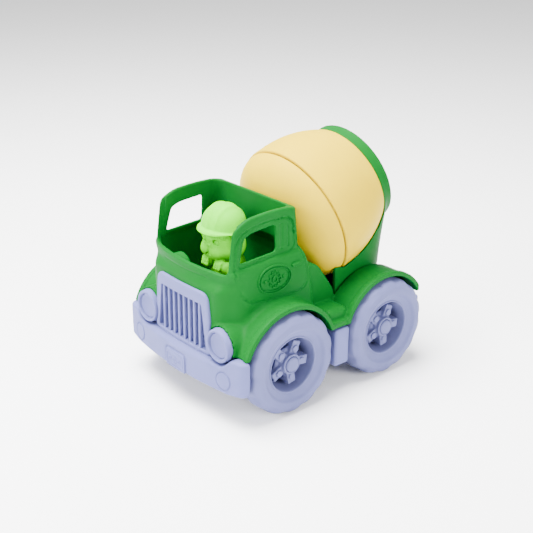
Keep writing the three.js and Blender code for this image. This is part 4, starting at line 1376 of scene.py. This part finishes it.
# ------------------------------------------------------------------ wheels
@dataclass
class Wheels:
    """Four fat wheels with scooped treads and five-armed hubs."""

    radius: float = radius_of("tyre_front_left")
    scoops: int = 14
    scoop_depth: float = 1.15
    arm_angles: Sequence[float] = (-7.5, -80, -152, 136, 64)
    arm_reach: float = 16.4
    arm_front: float = 62.6
    boss_front: float = 65.6

    def tyre(self) -> Solid:
        """The tyre about the X axis, with soft scoops across its tread."""
        section = rounded([
            (21.2, 47.0), (30, 46.6), (35.4, 47.6), (37, 51.5), (37, 63.4), (35.6, 67.4), (31.5, 69.5),
            (26.4, 69.8), (25.6, 68.7), (20.7, 65.9), (19.6, 66.2), (19.6, 64.0), (21.2, 62.0)], 1.0)

        def measure(x: Array, y: Array, z: Array) -> Array:
            """Distance to the tyre."""
            reach = np.sqrt(y**2 + z**2)
            turn = np.arctan2(z, y)
            base = outline_gap(reach, np.abs(x), section)
            wave = 0.5 + 0.5 * np.cos(self.scoops * turn + np.where(np.abs(x) > 57.5, 0.0, math.pi))
            across = np.exp(-(((np.abs(x) - 64.2) / 5.2) ** 2)) + np.exp(-(((np.abs(x) - 50.8) / 5.2) ** 2))
            return base + self.scoop_depth * wave**2 * across * smooth_step(reach, 32.0, 35.5)

        return Solid(measure)

    def tyre_relief(self, x: Array, y: Array, z: Array) -> Array:
        """Depth of the fine step round the sidewall."""
        reach = np.sqrt(y**2 + z**2)
        return 0.4 * smooth_step(reach, 27.4, 26.8) * smooth_step(x, 66, 68)

    def hub(self) -> Solid:
        """The hub about the X axis: a deep dish, five blocky arms and a ringed boss."""
        def arm(angle: float) -> Solid:
            """One arm, with the lug beside the boss."""
            c, s = math.cos(math.radians(angle)), math.sin(math.radians(angle))
            bar = block((50, 2, -3.4), (self.arm_front, self.arm_reach, 3.4), 0.7)
            web = block((50, -4, -4.4), (self.arm_front - 5.5, self.arm_reach - 5, 4.4), 2.0)
            lug = rod_x(2.5, 55, self.arm_front + 1.3, 10.8, 0.0, 0.5)
            whole = bar.join(web, 3.0).join(lug, 0.5)
            return Solid(lambda x, y, z: whole(x, y * c + z * s, z * c - y * s))

        arms = joined([arm(angle) for angle in self.arm_angles], 3.0)
        boss = rod_x(7.4, 49, self.boss_front, 0, 0, 0.7)
        drumlet = rod_x(10.2, 49, 59.5, 0, 0, 2.0)
        groove = rod_x(5.9, self.boss_front - 1.3, 80, 0, 0)

        def dish(x: Array, y: Array, z: Array) -> Array:
            """Distance to the dish: a wall that narrows inwards and a thick back."""
            reach = np.sqrt(y**2 + z**2)
            wall = np.maximum(reach - 20.95, 17.6 + 0.14 * (x - 50) - reach)
            back = np.maximum(reach - 20.0, x - 51.0)
            return np.maximum(np.minimum(wall, back), np.maximum(49 - x, x - 66.6))

        between = [math.radians(a) for a in (28.25, 100, -43.75, 172, -116)]
        holes = joined([rod_x(4.3, 40, 58, 12.6 * math.cos(a), 12.6 * math.sin(a)) for a in between])
        body = Solid(dish).join(drumlet, 2.0).join(arms, 2.2).cut(holes, 0.6)
        return body.join(boss, 1.2).cut(groove, 0.5)

    def build(self, shop: Workshop) -> None:
        """Meshes one wheel and places it four times."""
        coarse = Sculpt(1.1, 13.0, 0.5, 1)
        points, faces = coarse.mesh(self.tyre(), (44, -39, -39), (72, 39, 39), self.tyre_relief)
        bases = {"tyre": new_object("tyre_base", points, faces)}
        fine = Sculpt(0.72, 18.0, 0.45, 1)
        points, faces = fine.mesh(self.hub(), (47, -22.5, -22.5), (70, 22.5, 22.5))
        bases["hub"] = new_object("hub_base", points, faces)
        cap = [(0, -1.0), (5.2, -1.0), (5.4, -0.6), (5.4, 1.1), (5.0, 1.6), (3.6, 1.95), (0, 2.15)]
        bases["hub_cap"] = shop.lathe.turn("cap_base", cap, 64, shop.finishes[Slot.WHEEL])
        spot = Vector((self.boss_front - 0.9, 0, 0)) * MM
        bases["hub_cap"].data.transform(Matrix.Translation(spot) @ Matrix.Rotation(math.pi / 2, 4, "Y"))
        for body, (y, _) in zip((Body.FRONT_WHEELS, Body.REAR_WHEELS), AXLES):
            end = body.value.split("_")[0]
            for side in Side:
                centre = Matrix.Translation(Vector((0, y, self.radius)) * MM)
                place = centre @ Matrix.Scale(side.value, 4, (1, 0, 0))
                for label, base in bases.items():
                    node = f"{label}_{end}_{side.label}"
                    shop.claim(placed(f"{node}_made", base, place), body, Slot.WHEEL, node)
        for base in bases.values():
            bpy.data.objects.remove(base)


# ------------------------------------------------------------------ stand
@dataclass
class Stand:
    """The green stand that holds the drum by a collar and tips on a hinge."""

    drum: DrumForm
    half_width: float = 42.0
    bottom_z: float = 56.0
    bend_z: float = 76.0
    back_y: float = 76.5
    centre_y: float = 40.0
    wall: float = 3.0
    collar: Pair = (51.7, 61.1)
    collar_radii: Pair = (41.2, 39.6)
    bore: float = 38.4
    hinge: Pair = joint_spot("drum_tip")
    lug_x: float = 14.0
    sculpt: Sculpt = field(default_factory=lambda: Sculpt(1.3, 13.0, 0.5, 2))

    def hull(self, x: Array, y: Array, z: Array) -> Array:
        """Distance to the closed stand: a squarish foot that grows into the collar's round.

        Sections lie in planes that fan out from the line where the foot's plane meets the
        collar's, so each is a rounded square that changes evenly into the collar's circle.
        """
        t = math.radians(self.drum.tilt)
        middle = sum(self.collar) / 2
        cy = self.drum.seam_y + middle * math.cos(t)
        cz = self.drum.seam_z + middle * math.sin(t)
        line_y = cy + (cz - self.bend_z) * math.tan(t)
        rise = self.bend_z - self.bottom_z
        back = self.back_y + 0.12 * rise + 0.0022 * rise**2
        far = math.hypot(line_y - cy, cz - self.bend_z)
        above = np.maximum(z - self.bend_z, 0.0)
        fan = math.radians(90 - self.drum.tilt)
        angle = np.clip(np.arctan2(above, np.maximum(line_y - y, 0.01)), 0, fan)
        ring = sum(self.collar_radii) / 2
        start = line_y - self.centre_y

        def ruled(low: float, high: float) -> tuple[Array, Array]:
            """Reach of a straight line across the fan, and the share of it that is passed."""
            from_low, from_high = low * np.sin(angle), high * np.sin(fan - angle)
            return low * high * math.sin(fan) / (from_low + from_high), from_low / (from_low + from_high)

        centre, share = ruled(start, far)
        tail, _ = ruled(line_y - back, far - ring)
        nose, _ = ruled(start + 60, far + ring)
        lean = np.minimum(0.13 * (z - self.bend_z), 0)
        reach = np.where(z < self.bend_z, line_y - y + lean, np.hypot(above, line_y - y))
        width = self.half_width + (ring - self.half_width) * share
        power = 3.2 - 1.2 * share
        u = reach - centre
        v = np.abs(u) / np.where(u > 0, nose - centre, centre - tail)
        return ((np.abs(x) / width) ** power + v**power) ** (1 / power) * width - width

    def ears(self) -> Solid:
        """The ears inside the back wall that hold the hinge pin."""
        y, z = self.hinge
        shape = rounded([(y - 6, z - 5), (y + 12, z - 5), (y + 12, z + 12), (y - 6, z + 6)], 3.5)
        return joined([prism_x(shape, side.value * 20 - 2, side.value * 20 + 2, 0.5) for side in Side])

    def shape(self) -> Solid:
        """The open stand with its collar, ears and notches."""
        along, out = self.drum.along, self.drum.out
        start, end = self.collar

        def skin(x: Array, y: Array, z: Array) -> Array:
            """Distance to the wall, cut off at its front and at the collar's back."""
            shell = self.hull(x, y, z)
            ends = np.maximum(along(y, z) - end, self.bottom_z - z)
            return round_max(np.maximum(shell, -shell - self.wall), ends, 0.8)

        def ring(x: Array, y: Array, z: Array) -> Array:
            """Distance to the collar."""
            reach = out(x, y, z)
            slope = (self.collar_radii[1] - self.collar_radii[0]) / (end - start)
            outer = reach - self.collar_radii[0] - slope * (along(y, z) - start)
            lengths = np.abs(along(y, z) - (start + end) / 2) - (end - start) / 2
            return round_max(np.maximum(outer, self.bore - reach), lengths, 0.7)

        front = prism_x([(-20, 30), (20, 30), (20, 84), (45, 101), (66, 121), (50, 190), (-20, 190)], -60, 60)
        y, z = self.hinge
        middles = [side.value * self.lug_x for side in Side]
        notches = joined([block((x - 3, y - 8, 50), (x + 3, y + 14, z + 7), 0.6) for x in middles])
        inner = Solid(lambda x, y, z: self.hull(x, y, z) + 0.4)
        wall = Solid(skin).cut(front, 0.8).join(self.ears().meet(inner), 0.8).cut(notches, 0.4)
        pin = rod_x(2.56, -24.3, 24.3, y, z)
        return wall.cut(self.drum.space(0.45, self.bore), 0.4).join(Solid(ring), 0.6).cut(pin)

    def lug(self) -> Solid:
        """A lug on the deck that the hinge pin runs through, at the middle."""
        y, z = self.hinge
        outline = rounded([(y - 6.6, 51.2), (y + 4.6, 51.2), (y + 4.6, z), (y - 4.6, z)], 0.8)
        foot = prism_x(outline, -2, 2, 0.4)
        return foot.join(rod_x(4.6, -2, 2, y, z, 0.4)).cut(rod_x(2.58, -9, 9, y, z))

    def build(self, shop: Workshop) -> None:
        """Meshes the stand and its hinge."""
        points, faces = self.sculpt.mesh(self.shape(), (-44, 17, 54), (44, 91, 176))
        shop.claim(new_object("stand_shell", points, faces), Body.STAND, Slot.STAND, "drum_stand")
        points, faces = Sculpt(0.6, 16.0, 0.4, 1).mesh(self.lug(), (-3, 63, 50), (3, 78, 68))
        base = new_object("lug_base", points, faces)
        for side in Side:
            place = Matrix.Translation((side.value * self.lug_x * MM, 0, 0))
            piece = placed(f"hinge_lug_{side.label}_made", base, place)
            shop.claim(piece, Body.CHASSIS, Slot.SHELL, f"hinge_lug_{side.label}")
        bpy.data.objects.remove(base)
        y, z = self.hinge
        profile = [(0, -24), (2.2, -24), (2.5, -23.7), (2.5, 23.7), (2.2, 24), (0, 24)]
        pin = shop.lathe.turn("hinge_pin", profile, 40, shop.finishes[Slot.STAND])
        pin.data.transform(Matrix.Translation(Vector((0, y, z)) * MM) @ Matrix.Rotation(math.pi / 2, 4, "Y"))
        shop.claim(pin, Body.STAND, Slot.STAND, "tip_hinge_pin")


# ------------------------------------------------------------------ driver
@dataclass
class Driver:
    """The lime builder: a dog in a hard hat, with its paws at the wheel."""

    y: float = -46.0
    foot_z: float = 68.5
    breadth: float = 1.15
    sculpt: Sculpt = field(default_factory=lambda: Sculpt(0.72, 16.0, 0.35, 1))

    def pair(self, solid: Solid) -> Solid:
        """The same shape on both sides."""
        return solid.mirrored()

    def helmet(self) -> Solid:
        """The hard hat: a ribbed dome over a short brim."""
        dome = ellipsoid((0, self.y - 0.8, 120.2), (15.4, 15.2, 16.4))
        low = Solid(lambda x, y, z: 119.2 + 0.05 * (y - self.y) - z)
        ribs = [ellipsoid((x, self.y - 0.8, 120.0), (1.7, 15.0 - abs(x) * 0.22, 17.1 - abs(x) * 0.16))
                for x in (-5.6, 0, 5.6)]
        crown = dome.join(joined(ribs), 1.8).meet(low, 0.6)
        brim = ellipsoid((0, self.y - 1.8, 119.6), (16.2, 16.8, 1.8))
        peak = ellipsoid((0, self.y - 11.0, 119.0), (11.6, 8.6, 1.5))
        return crown.join(brim, 1.0).join(peak, 2.0)

    def head(self) -> Solid:
        """The dog's head: brows, jowls, nose, mouth and flopped ears."""
        y = self.y
        skull = ellipsoid((0, y - 0.8, 110.5), (14.2, 13.4, 12.5))
        jowls = self.pair(ellipsoid((4.6, y - 11.0, 104.4), (5.4, 4.8, 5.2)))
        cheeks = ellipsoid((0, y - 2.4, 105.4), (14.4, 12.4, 8.6))
        bridge = ellipsoid((0, y - 10.6, 109.4), (3.4, 3.4, 3.6))
        chin = ellipsoid((0, y - 9.4, 100.4), (5.6, 4.2, 3.2))
        brows = self.pair(capsule((2.6, y - 12.2, 114.8), (8.2, y - 9.4, 116.2), 1.7))
        nose = ellipsoid((0, y - 14.0, 109.4), (2.7, 1.9, 1.9))
        ears = self.pair(ellipsoid((15.0, y - 1.5, 111.5), (3.2, 5.6, 8.4)))
        wrinkle = self.pair(capsule((7.2, y - 10.0, 110.6), (9.6, y - 7.4, 104.4), 1.0))
        sockets = self.pair(ellipsoid((5.1, y - 12.6, 112.2), (2.7, 1.9, 1.7)))
        eyes = self.pair(ellipsoid((5.0, y - 10.9, 112.1), (1.9, 1.4, 1.4)))
        mouth = self.pair(capsule((0.3, y - 15.3, 103.4), (6.4, y - 12.4, 100.8), 0.6))
        cleft = capsule((0, y - 15.8, 107.6), (0, y - 14.2, 102.6), 0.55)
        face = skull.join(cheeks, 3.0).join(jowls, 2.2).join(bridge, 2.0).join(chin, 1.6)
        face = face.join(brows, 1.2).join(wrinkle, 0.9).cut(sockets, 0.8).join(eyes, 0.3)
        return face.join(nose, 0.5).join(ears, 1.2).cut(mouth.join(cleft), 0.5)

    def body(self) -> Solid:
        """The body with the arms held forward and the fingers curled."""
        y = self.y
        torso = ellipsoid((0, y + 1, 86.5), (13.6, 11.4, 19.0))
        plinth = block((-11, y - 10.5, self.foot_z), (11, y + 10.5, 80), 4.0)
        arms = self.pair(capsule((13.2, y - 1, 98), (14.6, y - 6, 90.5), 4.2, 4.4))
        fore = self.pair(capsule((14.4, y - 6.5, 90.5), (8.0, y - 11.5, 95.5), 4.2, 3.6))
        fingers = [self.pair(capsule((x, y - 13.2, 98.8 - k * 0.5), (x - 0.5, y - 14.8, 93.6), 1.35))
                   for k, x in enumerate((4.7, 7.2, 9.7))]
        palms = self.pair(ellipsoid((7.2, y - 11.4, 95.6), (5.0, 3.8, 4.6)))
        cuffs = self.pair(ellipsoid((11.0, y - 9.2, 94.0), (3.4, 4.6, 4.6)))

        def vest(x: Array, yy: Array, z: Array) -> Array:
            """Distance to the vest's two raised bands."""
            bands = np.maximum(np.abs(np.abs(x) - 6.4) - 1.8, 78 - z)
            return np.maximum(torso(x, yy, z) - 0.7, bands)

        trunk = torso.join(plinth, 3.0).join(Solid(vest), 0.5)
        trunk = trunk.join(arms, 1.6).join(fore, 1.2).join(cuffs, 0.6)
        whole = trunk.join(palms, 0.8).join(joined(fingers), 0.35)
        return Solid(lambda x, yy, z: np.maximum(whole(x, yy, z), self.foot_z - z))

    def build(self, shop: Workshop) -> None:
        """Meshes the figure as one casting."""
        top = self.head().join(self.helmet(), 0.35)
        wide = Solid(lambda x, y, z: top((x + 1.4) / self.breadth, y + 1.0, z))
        figure = self.body().join(wide, 0.8)
        points, faces = self.sculpt.mesh(figure, (-23, -70, 66), (22, -27, 139))
        shop.claim(new_object("builder_dog", points, faces), Body.DRIVER, Slot.FIGURE, "driver_figure")


# ------------------------------------------------------------------ studio
@dataclass
class Studio:
    """The pale floor, the soft light and the camera."""

    camera_at: Point = (513.6, -449.4, 361.1)
    aim: Point = (-1.2, -8.9, 79.3)
    roll: float = 0.54
    lens: float = 67.54
    dome: float = 1.0
    floor: float = 0.95
    floor_half: float = 6000.0
    sensor: float = 36.0
    lamps: Sequence[tuple[str, Point, float, float]] = (
        ("overhead", (-140, -180, 1000), 700, 73.0),
        ("front", (-150, -1200, 650), 500, 27.0),
        ("side", (1300, 250, 520), 500, 27.0))

    def light(self, name: str, spot: Point, size: float, power: float, target: Point = (0, 0, 60)) -> None:
        """Adds a soft square lamp.

        Args:
            name: The lamp's name.
            spot: Where it hangs, in millimetres.
            size: The length of its side, in millimetres.
            power: Its power in watts.
            target: What it points at.
        """
        data = bpy.data.lights.new(name, "AREA")
        data.energy, data.size = power, size * MM
        lamp = bpy.data.objects.new(name, data)
        lamp.location = Vector(spot) * MM
        lamp.rotation_euler = (Vector(target) - Vector(spot)).to_track_quat("-Z", "Y").to_euler()
        bpy.context.scene.collection.objects.link(lamp)

    def build(self) -> None:
        """Builds the studio."""
        world = bpy.data.worlds.new("dome")
        world.use_nodes = True
        world.node_tree.nodes["Background"].inputs[0].default_value = (1.0, 1.0, 1.0, 1.0)
        world.node_tree.nodes["Background"].inputs[1].default_value = self.dome
        bpy.context.scene.world = world
        for lamp in self.lamps:
            self.light(*lamp)
        paper = Graph("paper")
        place = paper.node("ShaderNodeTexCoord").outputs["Object"]
        tone = paper.node("ShaderNodeMix", {"data_type": "RGBA"}, {
            0: paper.noise(place, 3.0), 6: (self.floor,) * 3 + (1.0,), 7: (self.floor * 0.985,) * 3 + (1.0,)})
        surface = paper.node("ShaderNodeBsdfPrincipled", inputs={
            "Base Color": tone.outputs[2], "Roughness": 0.9, "Specular IOR Level": 0.1})
        paper.tree.links.new(surface.outputs[0], paper.node("ShaderNodeOutputMaterial").inputs[0])
        far = self.floor_half
        corners = np.array([(-far, -far, 0), (far, -far, 0), (far, far, 0), (-far, far, 0)], float)
        floor = new_object("paper_floor", corners, [(0, 1, 2, 3)])
        floor.data.materials.append(paper.material)
        data = bpy.data.cameras.new("camera")
        data.lens, data.sensor_width = self.lens, self.sensor
        data.clip_start, data.clip_end = 0.01, 50.0
        camera = bpy.data.objects.new("camera", data)
        camera.location = Vector(self.camera_at) * MM
        look = (Vector(self.aim) - Vector(self.camera_at)).to_track_quat("-Z", "Y")
        camera.rotation_mode = "QUATERNION"
        camera.rotation_quaternion = look @ Matrix.Rotation(math.radians(self.roll), 3, "Z").to_quaternion()
        bpy.context.scene.collection.objects.link(camera)
        bpy.context.scene.camera = camera


def main() -> None:
    """Builds the truck from the ground up."""
    logging.basicConfig(level=logging.INFO, format="%(message)s")
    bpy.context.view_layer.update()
    green = Plastic("shell_green", (0.0003, 0.078, 0.0088), (0.0005, 0.084, 0.0102), 0.45, shine=0.035)
    stand_green = replace(green, name="stand_green")
    grey = Plastic("chassis_grey", (0.102, 0.112, 0.262), (0.11, 0.12, 0.277), 0.5, shine=0.08)
    finishes = {
        Slot.SHELL: green, Slot.STAND: stand_green, Slot.CHASSIS: grey,
        Slot.WHEEL: Plastic("wheel_grey", (0.096, 0.104, 0.225), (0.104, 0.112, 0.24), 0.52, shine=0.08),
        Slot.DRUM: Plastic("drum_yellow", (0.50, 0.345, 0.0001), (0.525, 0.365, 0.0002), 0.4, shine=0.03),
        Slot.FIGURE: Plastic("figure_lime", (0.08, 0.50, 0.0002), (0.087, 0.525, 0.0003), 0.42, shine=0.03),
    }
    shop = Workshop({slot: finish.build() for slot, finish in finishes.items()}, Lathe(), array_tree())
    form = DrumForm()
    shell = BodyShell(form)
    for piece in (Chassis(), shell, CabTrim(shell), Front(), Wheels(), Stand(form), Drum(form), Driver()):
        piece.build(shop)
    for node, slot in (("seat_block", Slot.SHELL), ("front_axle", Slot.WHEEL), ("rear_axle", Slot.WHEEL)):
        shop.keep(node, slot)
    Studio().build()


if __name__ == "__main__":
    main()
